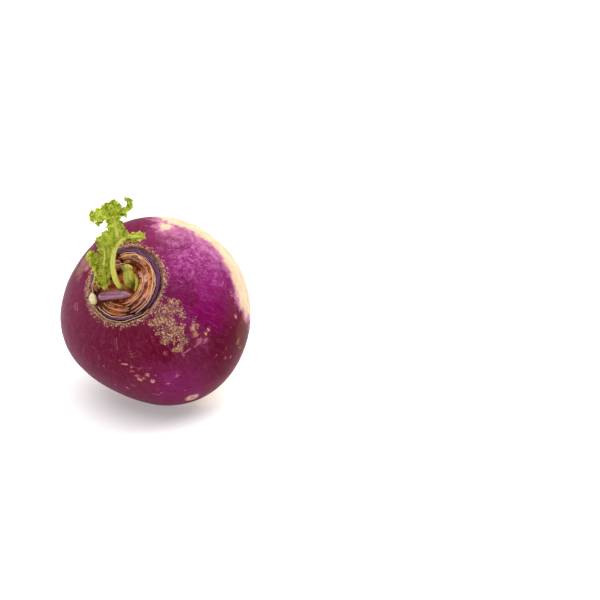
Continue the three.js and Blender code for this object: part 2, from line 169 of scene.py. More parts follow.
# Leaf stalks: line, radius, end radius. Lobes: line, width, waves, ruffle, turn from root to tip.
TALL_STALKS = [
    (
        [(0.1, -2.0, SEAT_GAP), (-0.3, -1.4, 4.4), (-0.7, -0.2, 7.9), (-0.7, 3.2, 13.3),
         (0, 7.0, 16.9), (1.6, 9.9, 19.6), (3.3, 11.9, 20.6), (5.1, 13.7, 20.3),
         (7.0, 14.7, 19.0), (9.0, 15.7, 17.2)],
        1.3, 0.55,
    ),
    (
        [(0.5, 8.4, 17.9), (1.7, 11.5, 20.4), (1.8, 14.4, 23.4), (1.5, 16.9, 26.2), (1.4, 19.4, 28.2)],
        0.85, 0.5,
    ),
]
TALL_LOBES = [
    ([(1.7, 10.4, 19.6), (1.6, 14.2, 23.4), (1.5, 16.9, 26.2), (1.4, 19.1, 28.1)], 2.9, 3, 0.55, (10, -20)),
    ([(2.0, 11.6, 20.4), (3.9, 14.1, 21.2), (5.4, 15.3, 21.2)], 1.6, 1.5, 0.4, (0, 30)),
    ([(1.4, 19.3, 28.4), (-1.3, 18.3, 30.3), (-3.6, 16.4, 31.5), (-5.9, 15.1, 32.5)], 2.4, 2.6, 0.6, (0, 25)),
    ([(-0.8, 18.2, 29.6), (-2.5, 15.3, 30.0), (-3.5, 13.5, 29.6)], 1.1, 1.5, 0.3, (0, 30)),
    ([(1.3, 19.2, 28.4), (-0.6, 20.5, 30.9), (-1.8, 21.4, 32.4)], 2.0, 2, 0.5, (-20, -40)),
    ([(1.4, 19.4, 28.4), (0.8, 21.8, 30.5), (0.4, 23.4, 31.8)], 2.0, 2, 0.5, (15, 35)),
    ([(1.4, 19.4, 28.4), (2.5, 22.2, 28.9), (3.2, 23.2, 28.9)], 1.3, 1.5, 0.3, (0, -30)),
    (
        [(1.4, 19.4, 28.4), (3.4, 21.3, 27.2), (5.2, 23.1, 26.5), (5.8, 24.7, 27.0), (5.0, 25.6, 28.2),
         (3.9, 25.5, 29.1)],
        1.1, 3, 0.35, (0, 40),
    ),
    ([(1.5, 19.0, 28.0), (3.2, 20.6, 26.4), (4.8, 20.3, 24.7)], 0.95, 1.5, 0.3, (0, -30)),
    ([(4.0, 13.2, 19.3), (7.1, 14.8, 18.1), (10.0, 16.7, 16.2)], 1.7, 2, 0.45, (0, 20)),
    (
        [(1.8, 10.6, 20.0), (-0.1, 11.0, 22.2), (-1.4, 12.0, 23.8), (-2.2, 13.2, 24.9)],
        1.9, 2, 0.5, (-10, -35),
    ),
]
LOW_STALKS = [
    (
        [(-6.2, -3.4, SEAT_GAP), (-6.3, -2.9, 4.7), (-5.9, -0.4, 8.5), (-4.9, 2.4, 12.0), (-3.9, 5.8, 15.2),
         (-3.8, 8.7, 18.5)],
        1.1, 0.5,
    ),
    (
        [(-5.9, -1.6, 7.7), (-7.3, -0.9, 9.9), (-8.1, 0.9, 12.7), (-9.3, 2.9, 15.5), (-10.5, 4.0, 17.7)],
        0.7, 0.4,
    ),
]
LOW_LOBES = [
    ([(-4.9, 3.2, 12.9), (-3.8, 6.7, 15.7), (-4.1, 9.6, 18.2), (-5.4, 12.1, 20.9)], 2.5, 3, 0.6, (0, -25)),
    ([(-5.5, 0.6, 9.9), (-6.7, 2.2, 12.8), (-8.5, 3.9, 15.7), (-9.9, 5.1, 18.2)], 2.4, 2.6, 0.55, (10, 40)),
    ([(-4.7, 3.2, 12.8), (-6.0, 4.7, 15.5), (-7.3, 5.6, 17.3)], 1.8, 2, 0.45, (0, -30)),
    ([(-5.4, 1.7, 10.3), (-4.0, 5.5, 11.2), (-3.8, 8.6, 13.0), (-3.5, 11.4, 15.2)], 1.9, 2.6, 0.5, (0, 20)),
    ([(-6.1, -2.6, 5.6), (-7.2, -1.9, 8.2), (-8.1, -0.9, 10.4)], 1.7, 2, 0.45, (0, 25)),
    ([(-5.2, -1.6, 8.3), (-4.0, 0.7, 9.6), (-3.4, 2.9, 11.1)], 1.4, 2, 0.35, (0, -20)),
    ([(-5.6, -2.7, 6.4), (-5.3, -0.4, 10.4), (-4.9, 2.1, 13.5)], 1.5, 2.6, 0.45, (0, 15)),
    ([(-5.8, -3.0, 5.4), (-4.6, -1.7, 6.3), (-3.8, -0.4, 7.4)], 1.2, 1.5, 0.35, (0, -15)),
]

# ---- Marks on the skin: polar, around, half width in degrees ----
CORKY_PATCH = [
    (31, -22, 5), (35, -16, 4.5), (33, -29, 4), (38, -22, 6), (43, -16, 4), (42, -31, 6), (46, -25, 5.5),
    (48, -35, 3.5), (51, -28, 4.5), (56, -23, 2.8),
]
SCABS = [(62.8, -70.8, 1.9), (60.9, -65.3, 1.3), (66.4, -64.1, 1.4), (60.3, -72.6, 0.9), (69.0, -48.5, 0.9)]
OVAL_SCAB = (96.8, -51.8, 3.4)


# ---- Arithmetic on arrays of points ----


def smoothstep(x, low, high):
    t = np.clip((x - low) / (high - low), 0, 1)
    return t * t * (3 - 2 * t)


def lerp(a, b, t):
    return a + (b - a) * t


def bell(x, middle, width):
    return np.exp(-(((x - middle) / width) ** 2))


def unit(vectors):
    return vectors / np.maximum(np.linalg.norm(vectors, axis=-1, keepdims=True), 1e-12)


def direction(polar, around):
    out, turn = math.sin(math.radians(polar)), math.radians(around)
    return np.array([out * math.cos(turn), out * math.sin(turn), math.cos(math.radians(polar))])


def grain(points, size, shift=0.0):
    """Smooth noise from -1 to 1 whose grains are about `size` across."""
    return np.array([noise.noise(Vector(p) / size + Vector((shift, -shift, shift))) for p in points])


class Curve:
    """A smooth line through points, spaced by the square root of their distances."""

    def __init__(self, line):
        points = np.array(line, float)
        first, last = 2 * points[0] - points[1], 2 * points[-1] - points[-2]
        self.points = np.vstack([first, points, last])
        self.spans = len(points) - 1

    def place(self, t):
        along = np.clip(t, 0, 1) * self.spans
        span = np.minimum(along.astype(int), self.spans - 1)
        share = (along - span)[:, None]
        a, b, c, d = (self.points[span + i] for i in range(4))
        before, between, after = (
            np.maximum(np.sum((q - p) ** 2, axis=1) ** 0.25, 1e-4)[:, None]
            for p, q in ((a, b), (b, c), (c, d))
        )
        start = ((b - a) / before - (c - a) / (before + between) + (c - b) / between) * between
        end = ((c - b) / between - (d - b) / (between + after) + (d - c) / after) * between
        square = -3 * b + 3 * c - 2 * start - end
        cube = 2 * b - 2 * c + start + end
        return b + share * (start + share * (square + share * cube))

    def heading(self, t):
        small = 1e-4
        return unit(self.place(np.minimum(t + small, 1)) - self.place(np.maximum(t - small, 0)))

    def across(self, t, facing):
        """The side and face directions at t, with the face turned to `facing`."""
        heading = self.heading(t)
        side = unit(np.cross(heading, facing))
        return side, unit(np.cross(side, heading))


# ---- Meshes ----


def places_of(verts):
    return np.array([vert.co for vert in verts])


def moved(verts, places):
    for vert, place in zip(verts, places):
        vert.co = place


KEPT = ("along", "across", "rise")


def new_mesh():
    """An empty bmesh that can keep the numbers that the materials read."""
    bm = bmesh.new()
    for name in KEPT:
        bm.verts.layers.float.new(name)
    return bm


def kept(bm, verts, **values):
    """Keeps one number for each vertex under each name."""
    for name, numbers in values.items():
        layer = bm.verts.layers.float[name]
        for vert, number in zip(verts, numbers):
            vert[layer] = number


def spun(bm, angle, steps, closed=False):
    """Turns all that the mesh holds round the axis, into a surface."""
    bmesh.ops.spin(
        bm, geom=bm.verts[:] + bm.edges[:], cent=(0, 0, 0), axis=(0, 0, 1), angle=angle, steps=steps,
        use_merge=closed,
    )


def finished(bm, name, place, material, replaces=()):
    """Turns a bmesh into a piece of the turnip, set in the row frame and riding on the root."""
    bmesh.ops.transform(bm, matrix=place, verts=bm.verts)
    for face in bm.faces:
        face.smooth = True
    mesh = bpy.data.meshes.new(name)
    bm.to_mesh(mesh)
    bm.free()
    mesh.materials.append(material)
    made = shown(name, mesh)
    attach(made, "root")
    if replaces:
        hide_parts(*replaces)
    return made


def thickened(piece, thickness):
    wall = piece.modifiers.new("thickness", "SOLIDIFY")
    wall.thickness = thickness * MILLIMETRE
    wall.offset = 0
    wall.use_even_offset = False
    return piece


# ---- Swollen root ----


def crown_side(radius):
    radius = np.asarray(radius, float)
    shoulder = CROWN_HEIGHT * np.sqrt(1 - (radius / EQUATOR_RADIUS) ** SHOULDER_POWER)
    wall = smoothstep(radius, PLATE_RADIUS, PLATE_RADIUS + PLATE_WALL)
    cork = CORK_RISE * bell(radius, CORK_RADIUS, CORK_WIDTH)
    return lerp(PLATE_HEIGHT, shoulder + cork, wall)


def root_side(radius):
    return -ROOT_DEPTH * np.sqrt(1 - (np.asarray(radius) / EQUATOR_RADIUS) ** ROOT_END_POWER)


def tail_radius(depth):
    slim = lerp(TAIL_RADIUS, TAIL_END_RADIUS, depth / TAIL_LENGTH)
    return slim + sum(radius * np.exp(-depth / fade) for radius, fade in TAIL_FLARES)


def root_outline():
    """Half outline of the root as rows of radius and height, from the tip of the tail to the crown."""
    tail_top = root_side(tail_radius(0.0))
    depths = TAIL_LENGTH * np.linspace(1, 0.02, 40) ** 1.7
    tail = np.column_stack([tail_radius(depths), tail_top - depths])
    ring_edge = CORK_RADIUS + 2.2 * CORK_WIDTH
    lowest = math.asin(tail_radius(0.0) / EQUATOR_RADIUS)
    highest = math.asin(ring_edge / EQUATOR_RADIUS)
    under = EQUATOR_RADIUS * np.sin(np.linspace(lowest, math.pi / 2, 76)[:-1])
    over = EQUATOR_RADIUS * np.sin(np.linspace(math.pi / 2, highest, 52)[:-1])
    ring = np.concatenate([np.linspace(ring_edge, 15.0, 30), np.linspace(14.6, 0.6, 20)])
    crown = np.concatenate([over, ring])
    tip = [(0, tail_top - TAIL_LENGTH - 0.4)]
    top = [(0, PLATE_HEIGHT)]
    sides = ((under, root_side), (crown, crown_side))
    return np.vstack([tip, tail, *(np.column_stack([radius, side(radius)]) for radius, side in sides), top])


def grown(points):
    """The turned shape, grown uneven."""
    out = unit(points)
    share = 1 + sum(
        amount * ((1 + out @ direction(polar, around)) / 2) ** SWELLING_FOCUS
        for polar, around, amount in SWELLINGS
    )
    x, y, z = points.T
    radius, turn = np.hypot(x, y), np.arctan2(y, x)
    places = points * share[:, None]
    near_cork = bell(radius, CORK_RADIUS, CORK_WIDTH) * (z > 0)
    waves = np.sin(5 * turn + 1) + 0.7 * np.sin(11 * turn) + 0.5 * np.sin(19 * turn + 2)
    places[:, 2] += CORK_UNEVENNESS * near_cork * waves
    near_crown = (1 - smoothstep(radius, 18, 34)) * (z > 0)
    beyond = np.maximum(0, -z - ROOT_DEPTH) / TAIL_LENGTH
    for axis in (0, 1):
        places[:, axis] += PLATE_SHIFT[axis] * near_crown + TAIL_BEND[axis] * beyond**2
    return places


def spot(points, polar, around, half_width, softness=0.35):
    """1 inside a spot on the skin and 0 outside, with a soft edge."""
    angle = np.degrees(np.arccos(np.clip(unit(points) @ direction(polar, around), -1, 1)))
    return 1 - smoothstep(angle, half_width * (1 - softness), half_width * (1 + softness))


def skin_relief(points):
    """Low relief of the skin, in millimetres outwards."""
    x, y, z = points.T
    radius = np.hypot(x - PLATE_SHIFT[0], y - PLATE_SHIFT[1])
    upper = z > 0
    ring = bell(radius, CORK_RADIUS, CORK_RELIEF_WIDTH) * upper
    patch = np.max([spot(points, *row) for row in CORKY_PATCH], axis=0)
    scabs = np.max([spot(points, *row, 0.3) for row in SCABS], axis=0)
    oval = spot(points, *OVAL_SCAB, 0.25)
    coarse, fine = grain(points, 1.5), grain(points, 0.7, 5.0)
    plate = (radius < PLATE_RADIUS - 0.3) & upper
    swell = 0.16 * grain(points, 11.0, 3.0) + 0.05 * grain(points, 4.0, 9.0)
    relief = np.where(plate, 0.25 * coarse, swell)
    relief += ring * (0.30 * coarse + 0.22 * fine - 0.05)
    relief += patch * (0.16 + 0.22 * coarse + 0.16 * fine)
    relief += scabs * (0.28 + 0.15 * fine)
    relief += 0.22 * (oval - 1.7 * np.maximum(oval - 0.6, 0))
    tail = np.clip((-z - ROOT_DEPTH) / 4, 0, 1)
    return relief + tail * 0.12 * np.sin(z * 3.1 + 1.5 * np.sin(z))


def swollen_root(material):
    """The root, turned from its half outline, grown uneven and cut flat where it rests."""
    bm = bmesh.new()
    outline = [bm.verts.new((radius, 0, height)) for radius, height in root_outline()]
    for lower, upper in zip(outline, outline[1:]):
        bm.edges.new((lower, upper))
    spun(bm, 2 * math.pi, ROUND_STEPS, closed=True)
    bmesh.ops.remove_doubles(bm, verts=bm.verts, dist=1e-4)
    bmesh.ops.recalc_face_normals(bm, faces=bm.faces)
    points = grown(places_of(bm.verts))
    moved(bm.verts, points)
    bm.normal_update()
    outward = np.array([vert.normal for vert in bm.verts])
    moved(bm.verts, points + outward * skin_relief(points)[:, None])
    bmesh.ops.transform(bm, matrix=ROOT_PLACE, verts=bm.verts)
    bmesh.ops.bisect_plane(
        bm, geom=bm.verts[:] + bm.edges[:] + bm.faces[:], dist=1e-7,
        plane_co=(0, 0, 0), plane_no=(0, 0, -1), clear_outer=True,
    )
    rim = [edge for edge in bm.edges if edge.is_boundary]
    bmesh.ops.holes_fill(bm, edges=rim, sides=0)
    return finished(bm, "swollen_root", Matrix.Identity(4), material, ["root"])


# ---- Cut leaf bases, in arcs on the crown plate ----


BASE_SEGMENTS = 22
BASE_SQUARENESS = 0.75
BASE_STEP = 0.22
SHEATH_STEP = 0.2


def boxed(x):
    return np.sign(x) * np.abs(x) ** BASE_SQUARENESS


def on_arc(row, along, radius, height):
    """Points round a row's u and v, `along` being the share of the way from its first angle to its last."""
    u, v, _, start, end = row
    angle = np.radians(lerp(start, end, along))
    return np.column_stack([u + radius * np.cos(angle), v + radius * np.sin(angle), height])


def leaf_base(row, material, slot):
    """A worn ridge with a rounded box section, along an arc of the crown."""
    name, *arc, height, thickness = row
    _, _, radius, start, end = arc
    sweep = math.radians(abs(end - start))
    length = sweep * radius
    bm = new_mesh()
    section = bmesh.ops.create_circle(bm, radius=1, segments=BASE_SEGMENTS)["verts"]
    x, y, _ = places_of(section).T
    out, up = thickness / 2 * boxed(x), height / 2 * (boxed(y) + 1)
    moved(section, np.column_stack([radius + out, 0 * out, SEAT_GAP + up]))
    bmesh.ops.holes_fill(bm, edges=bm.edges[:], sides=0)
    spun(bm, sweep, max(30, round(length / BASE_STEP)))
    bmesh.ops.holes_fill(bm, edges=[e for e in bm.edges if e.is_boundary], sides=0)
    bmesh.ops.remove_doubles(bm, verts=bm.verts, dist=1e-5)
    x, y, z = places_of(bm.verts).T
    turned = np.mod(np.arctan2(y, x) + 0.5, 2 * math.pi) - 0.5  # an arc may go past a half turn
    along = np.clip(turned / sweep, 0.0, 1.0)
    out = (np.hypot(x, y) - radius) / (thickness / 2)
    up = (z - SEAT_GAP) / height
    kept(bm, bm.verts, along=along * length, across=0.5 + 0.5 * out, rise=up)
    seed = chance.uniform(0, 50)
    size = np.maximum(4 * along * (1 - along), 0.002) ** 0.36
    flat = np.column_stack([along * length, out * thickness, 0 * out])
    ragged = grain(flat, 1.6, seed) + 0.6 * grain(flat, 0.6, seed + 9)
    slow = grain(flat * [1, 0, 0], 4.5, seed + 3)
    fibres = grain(flat * [0.12, 1, 0] + up[:, None] * [0, 0, 2], 0.28, seed)
    lip, dish = smoothstep(out, 0.1, 0.9) * up, (1 - out**2) * smoothstep(up, 0.5, 0.9)
    lift = size * height * up * (1 + 0.12 * slow + 0.10 * ragged * (up > 0.5) + 0.14 * lip - 0.22 * dish)
    push = size * thickness / 2 * out + up * (0.22 * slow + 0.1 * ragged) + 0.06 * fibres * size
    moved(bm.verts, on_arc(arc, along, radius + push, SEAT_GAP + lift + 0.07 * fibres * up))
    bmesh.ops.recalc_face_normals(bm, faces=bm.faces)
    return finished(bm, name + "_worn", CROWN_PLACE, material, [name])


def dry_sheath(number, row, material):
    """A thin upright skin left between two leaf bases, torn along its top."""
    *arc, height, lean = row
    _, _, radius, start, end = arc
    length = math.radians(abs(end - start)) * radius
    bm = new_mesh()
    bmesh.ops.create_grid(bm, x_segments=round(length / SHEATH_STEP), y_segments=8, size=1)
    along, up, _ = (places_of(bm.verts).T + 1) / 2
    kept(bm, bm.verts, along=along * length, across=up, rise=up)
    seed = chance.uniform(60, 99)
    line = (along * length)[:, None] * [1, 0, 0]
    tall = height * (1 + 0.3 * grain(line, 3.0, seed) + 0.25 * grain(line, 0.9, seed + 4))
    tall *= np.maximum(4 * along * (1 - along), 0.01) ** 0.3
    wander = 0.35 * grain(line, 5.0, seed + 2) + 0.15 * up * grain(line, 1.2, seed + 6)
    moved(bm.verts, on_arc(arc, along, radius + wander + lean * up**2, SHEATH_GAP + tall * up))
    sheath = finished(bm, f"dry_sheath_{number}", CROWN_PLACE, material)
    return thickened(sheath, SHEATH_THICKNESS)


# ---- Rounded strips: stalks and buds ----


def strip_into(
    bm, line, half_width, half_depth, facing, bluntness, end_share, around, lengthwise, detail=None
):
    """A closed strip along a line, with an oval section and rounded ends, from a sphere."""
    ball = bmesh.ops.create_uvsphere(bm, u_segments=around, v_segments=lengthwise, radius=1)["verts"]
    curve = Curve(line)
    x, y, z = places_of(ball).T
    along = np.arccos(np.clip(-z, -1, 1)) / math.pi
    turn = np.arctan2(y, x)
    kept(bm, ball, along=along, across=0.5 + 0.5 * np.cos(turn), rise=0.5 + 0.5 * np.sin(turn))
    size = (4 * along * (1 - along)) ** bluntness * lerp(1, end_share, along)
    side, face = curve.across(along, facing)
    out, up = half_width * np.cos(turn), half_depth * np.sin(turn)
    if detail:
        out, up = detail(along, turn, out, up)
    moved(ball, curve.place(along) + side * (size * out)[:, None] + face * (size * up)[:, None])


def ribbed(along, turn, out, up):
    """Fine ridges that run along a stalk."""
    swell = 1 + 0.05 * np.cos(9 * turn + 1.0) + 0.03 * np.sin(14 * turn + 4 * along)
    return out * swell, up * swell


def creased_stalk(along, turn, out, up):
    """The cut stalk: a flat-topped strip with a long crease and fine ribs."""
    top = np.maximum(np.sin(turn), 0)
    crease = bell(np.cos(turn), 0.25 * np.sin(3 * along) - 0.15, 0.16) * top
    swell = 1 + 0.035 * np.cos(16 * turn) + 0.05 * np.sin(9 * along + 2)
    return out * swell, up * swell - 0.34 * crease


def folded_bud(along, turn, out, up):
    """The crown bud: young leaves folded along their length, with a curled hood at the top."""
    folds = 1 + 0.10 * np.cos(5 * turn + 2.5 * along) + 0.05 * np.cos(11 * turn - 3 * along)
    hood = 1 + 0.30 * bell(along, 0.86, 0.09) - 0.12 * bell(along, 0.72, 0.06)
    return out * folds * hood, up * folds * hood


def forked_tip(along, turn, out, up):
    """Near its tip the side bud widens and is pinched in along both faces."""
    notch = bell(np.cos(turn), 0, 0.3) * smoothstep(along, 0.45, 0.95)
    folds = 1 + 0.09 * np.cos(4 * turn + 3 * along) + 0.04 * np.cos(9 * turn - 5 * along)
    return out * folds * (1 + 0.2 * smoothstep(along, 0.3, 0.8)), up * folds * (1 - 0.6 * notch)


def strip_piece(name, shape, detail, material):
    bm = new_mesh()
    strip_into(bm, **shape, around=40, lengthwise=80, detail=detail)
    bmesh.ops.recalc_face_normals(bm, faces=bm.faces)
    return finished(bm, name + "_grown", CROWN_PLACE, material, [name])


# ---- Leaves ----


# Sizes in millimetres, teeth and frills for each wave of the edge.
LOBE_STEP = 0.17
TEETH = 5.5
FRILLS = 3.4
BRISTLE_RADIUS, BRISTLE_TIP_RADIUS = 0.045, 0.008
ROOTLETS = 16
ROOTLET_RADIUS = 0.22


def lobe_width(t, waves):
    """The share of its width that a lobe has at t."""
    outline = 0.3 + 0.7 * np.sin(np.pi * (0.1 + 0.78 * t)) ** 0.7
    teeth = 1 + 0.17 * np.sin(2 * np.pi * 1.5 * waves * t)
    return outline * teeth


def lobe_into(bm, line, width, waves, ruffle, turn):
    """One crisped lobe, from a flat grid. Its face turns by the angles in `turn`, root to tip."""
    curve = Curve(line)
    length = np.linalg.norm(np.diff(curve.place(np.linspace(0, 1, 30)), axis=0), axis=1).sum()
    steps = max(24, round(length / LOBE_STEP))
    sheet = bmesh.ops.create_grid(bm, x_segments=steps, y_segments=22, size=1)["verts"]
    x, across, _ = places_of(sheet).T
    t, edge = (x + 1) / 2, np.abs(across)
    kept(bm, sheet, along=t * length, across=across, rise=t)
    seed = chance.uniform(0, 80)

    heading = curve.heading(t)
    swing = np.radians(lerp(*turn, t))[:, None]
    facing = FRONT * np.cos(swing) + np.cross(heading, FRONT) * np.sin(swing)
    facing += heading * (heading @ FRONT)[:, None] * (1 - np.cos(swing))
    side, face = curve.across(t, facing)
    flat = np.column_stack([t * length, across * width, 0 * t])
    wild = grain(flat, 1.3, seed)
    turns = 2 * np.pi * waves * t
    teeth = 0.10 * np.sin(TEETH * turns + 2 * wild + (across > 0)) + 0.16 * grain(flat, 0.7, seed + 5)
    half = width * lobe_width(t, waves) * (1 + teeth * edge**3)
    wave = ruffle * edge**1.5 * np.sin(turns + np.where(across > 0, 0, 2))
    frill = 0.34 * edge**3 * np.sin(FRILLS * turns + 3 * wild + (across > 0))
    pucker = 0.16 * wild * (1 - edge) + 0.12 * grain(flat, 0.6, seed + 2)
    groove = -0.14 * bell(across * width, 0, 0.28)
    lift = wave + frill + pucker + groove + 0.22 * width * edge**2
    moved(sheet, curve.place(t) + side * (half * across)[:, None] + face * lift[:, None])


def leaf(name, stalks, lobes, leaf_skin, stalk_skin):
    """The thin lobes of a leaf, which stand in for its solid, and its ribbed stalks."""
    bm = new_mesh()
    for lobe in lobes:
        lobe_into(bm, *lobe)
    thickened(finished(bm, name + "_blades", CROWN_PLACE, leaf_skin, [name]), BLADE_THICKNESS)
    bm = new_mesh()
    for line, radius, end_radius in stalks:
        strip_into(bm, line, radius, radius, FRONT, 0.22, end_radius / radius, 28, 90, ribbed)
    bmesh.ops.recalc_face_normals(bm, faces=bm.faces)
    finished(bm, name + "_stalk", CROWN_PLACE, stalk_skin)


def bristles(name, stalks, count, material):
    """Short stiff hairs standing out of the leaf stalks."""
    bm = new_mesh()
    for line, radius, end_radius in stalks:
        curve = Curve(line)
        for _ in range(count):
            t = np.array([chance.uniform(0.12, 0.97)])
            turn = chance.uniform(0, 2 * math.pi)
            side, face = curve.across(t, FRONT)
            out = side[0] * math.cos(turn) + face[0] * math.sin(turn)
            length = chance.uniform(0.5, 1.1)
            base = curve.place(t)[0] + out * (lerp(radius, end_radius, t[0]) * 0.9)
            lean = Vector(out + 0.5 * curve.heading(t)[0]).normalized()
            standing = Matrix.Translation(Vector(base) + lean * length / 2)
            bmesh.ops.create_cone(
                bm, cap_ends=True, segments=4, radius1=BRISTLE_RADIUS,
                radius2=BRISTLE_TIP_RADIUS, depth=length,
                matrix=standing @ lean.to_track_quat("Z", "Y").to_matrix().to_4x4(),
            )
    return finished(bm, name, CROWN_PLACE, material)


def rootlets(material):
    """Thin side roots on the tap root."""
    bm = new_mesh()
    tail_top = float(root_side(tail_radius(0.0)))
    for _ in range(ROOTLETS):
        depth = chance.uniform(2.5, 20.5)
        around = chance.uniform(0, 2 * math.pi)
        beyond = max(0.0, depth - tail_top - ROOT_DEPTH) / TAIL_LENGTH
        middle = np.array([*(bend * beyond**2 for bend in TAIL_BEND), tail_top - depth])
        out = np.array([math.cos(around), math.sin(around), -0.35])
        length = chance.uniform(2.0, 4.5)
        line = [middle + out * (tail_radius(depth) * 0.6)]
        for step in range(1, 5):
            drift = np.array([chance.uniform(-0.35, 0.35) for _ in range(3)])
            line.append(line[0] + out * length * step / 4 + drift * step / 2)
        strip_into(bm, line, ROOTLET_RADIUS, ROOTLET_RADIUS, (0.3, 0.5, 0.8), 0.3, 0.35, 8, 16)
    bmesh.ops.recalc_face_normals(bm, faces=bm.faces)
    return finished(bm, "rootlets", ROOT_PLACE, material)


# ---- Shader building ----


def rgb(*levels):
    """A colour given as eye-even 0-255 levels of red, green and blue."""
    even = [level / 255 for level in levels]
    return (*(v / 12.92 if v <= 0.04045 else ((v + 0.055) / 1.055) ** 2.4 for v in even), 1.0)


class Value:
    """What a node gives. It can be reckoned with, which adds more nodes."""

    def __init__(self, tree, socket):
        self.tree, self.socket = tree, socket

    def calc(self, operation, *others, clamp=False):
        return self.tree.add("Math", self, *others, operation=operation, use_clamp=clamp)[0]

    def __add__(self, other):
        return self.calc("ADD", other)

    def __sub__(self, other):
        return self.calc("SUBTRACT", other)

    def __mul__(self, other):
        return self.calc("MULTIPLY", other)

    def or_more(self, other):
        return self.calc("MAXIMUM", other)

    def ramp(self, low, high, to_low=0.0, to_high=1.0):
        """Eased from low..high to to_low..to_high."""
        return self.tree.add("MapRange", self, low, high, to_low, to_high, interpolation_type="SMOOTHSTEP")[0]

    def vector(self, operation, *others):
        made = self.tree.add("VectorMath", self, *others, operation=operation)
        return made["Value" if operation in ("DOT_PRODUCT", "LENGTH") else "Vector"]

    def parts(self):
        made = self.tree.add("SeparateXYZ", self)
        return [made[axis] for axis in range(3)]

    def angle_from(self, middle):
        """The angle between two directions, in radians."""
        return self.vector("DOT_PRODUCT", middle).calc("MINIMUM", 0.999999).calc("ARCCOSINE")


class Node:
    """A node whose outputs are read by number or name."""

    def __init__(self, tree, made):
        self.tree, self.made = tree, made

    def __getitem__(self, label):
        return Value(self.tree, self.made.outputs[label])


class Tree:
    """Adds nodes to one node tree."""

    def __init__(self, tree):
        self.tree = tree

    def put(self, value, socket):
        """Joins a value to a socket, or sets it. A colour is three levels, or four linear numbers."""
        if isinstance(value, Value):
            self.tree.links.new(value.socket, socket)
        elif value is not None:
            as_levels = socket.type == "RGBA" and len(value) == 3
            socket.default_value = rgb(*value) if as_levels else value

    def add(self, kind, *inputs, **named):
        """A node. Names with a capital are inputs and the others are settings. None leaves an input be."""
        made = self.tree.nodes.new("ShaderNode" + kind)
        for name, value in named.items():
            if name[0].islower():
                setattr(made, name, value)
        for socket, value in zip(made.inputs, inputs):
            self.put(value, socket)
        for name, value in named.items():
            if name[0].isupper():
                self.put(value, made.inputs[name.replace("_", " ")])
        return Node(self, made)

    def group(self, group, **inputs):
        return self.add("Group", node_tree=group, **inputs)

    def noise(self, vector, scale, detail=3.0, roughness=0.55):
        return self.add("TexNoise", Vector=vector, Scale=scale, Detail=detail, Roughness=roughness)["Fac"]

    def mix(self, share, under, over):
        return self.add("Mix", share, *[None] * 5, under, over, data_type="RGBA")[2]


class Group(Tree):
    """A node group, given the labels of its sockets by kind. `entry` holds its inputs."""

    def __init__(self, name, inputs, outputs):
        super().__init__(bpy.data.node_groups.new(name, "ShaderNodeTree"))
        for way, sockets in (("INPUT", inputs), ("OUTPUT", outputs)):
            for kind, labels in sockets.items():
                for label in labels.split(", "):
                    self.tree.interface.new_socket(label, in_out=way, socket_type="NodeSocket" + kind)
        self.entry = Node(self, self.tree.nodes.new("NodeGroupInput"))
        self.leave = self.tree.nodes.new("NodeGroupOutput")

    def give(self, **values):
        for name, value in values.items():
            self.put(value, self.leave.inputs[name.replace("_", " ")])
        return self.tree


class Material(Tree):
    """A Principled material. Its colour is laid on in coats, each over a share of those below."""

    def __init__(self, name, roughness, specular):
        self.made = bpy.data.materials.new(name)
        self.made.use_nodes = True
        super().__init__(self.made.node_tree)
        self.shader = self.tree.nodes["Principled BSDF"]
        self.set(Roughness=roughness, Specular_IOR_Level=specular)

    def set(self, **values):
        for name, value in values.items():
            self.put(value, self.shader.inputs[name.replace("_", " ")])

    def coat(self, share, colour):
        self.colour = self.mix(share, self.colour, colour)

    def flesh(self, weight, radius, depth):
        """Lets light into the surface, `depth` millimetres deep."""
        self.set(Subsurface_Weight=weight, Subsurface_Radius=radius, Subsurface_Scale=depth * MILLIMETRE)

    def finish(self, height=None, relief=0.0):
        """Sets the colour, and a bump `relief` millimetres high."""
        self.set(Base_Color=self.colour)
        if height is not None:
            self.set(Normal=self.add("Bump", Strength=1.0, Distance=relief * MILLIMETRE, Height=height)[0])
        return self.made


# ---- Node groups ----

MERIDIAN_SHARE = 0.22  # how fast the two stretched vectors change from the crown to the root end
RINGS_SHARE = 8.0


def root_place_group():
    """Where a point of the turnip is on the root: its place in millimetres, its direction from the
    middle, its distance from the middle of the crown, and vectors that are stretched along the
    meridians and round the axis."""
    outputs = dict(Vector="Place, Direction, Meridian, Rings", Float="Crown distance, Height")
    group = Group("place on the root", {}, outputs)
    place = group.add(
        "Mapping", group.add("TexCoord")["Object"], vector_type="TEXTURE",
        Location=[length * MILLIMETRE for length in MIDDLE],
        Rotation=(math.radians(AXIS_FROM_UPRIGHT), 0, math.radians(AXIS_TURN)), Scale=(MILLIMETRE,) * 3,
    )[0]
    out = place.vector("NORMALIZE")
    x, y, height = place.parts()
    level = group.add("CombineXYZ", x, y)[0]
    side_x, side_y, _ = level.vector("NORMALIZE").parts()
    polar = out.parts()[2].calc("ARCCOSINE")
    return group.give(
        Place=place, Direction=out, Height=height,
        Crown_distance=level.vector("SUBTRACT", (*PLATE_SHIFT, 0)).vector("LENGTH"),
        Meridian=group.add("CombineXYZ", side_x, side_y, polar * MERIDIAN_SHARE)[0],
        Rings=group.add("CombineXYZ", side_x, side_y, polar * RINGS_SHARE)[0],
    )


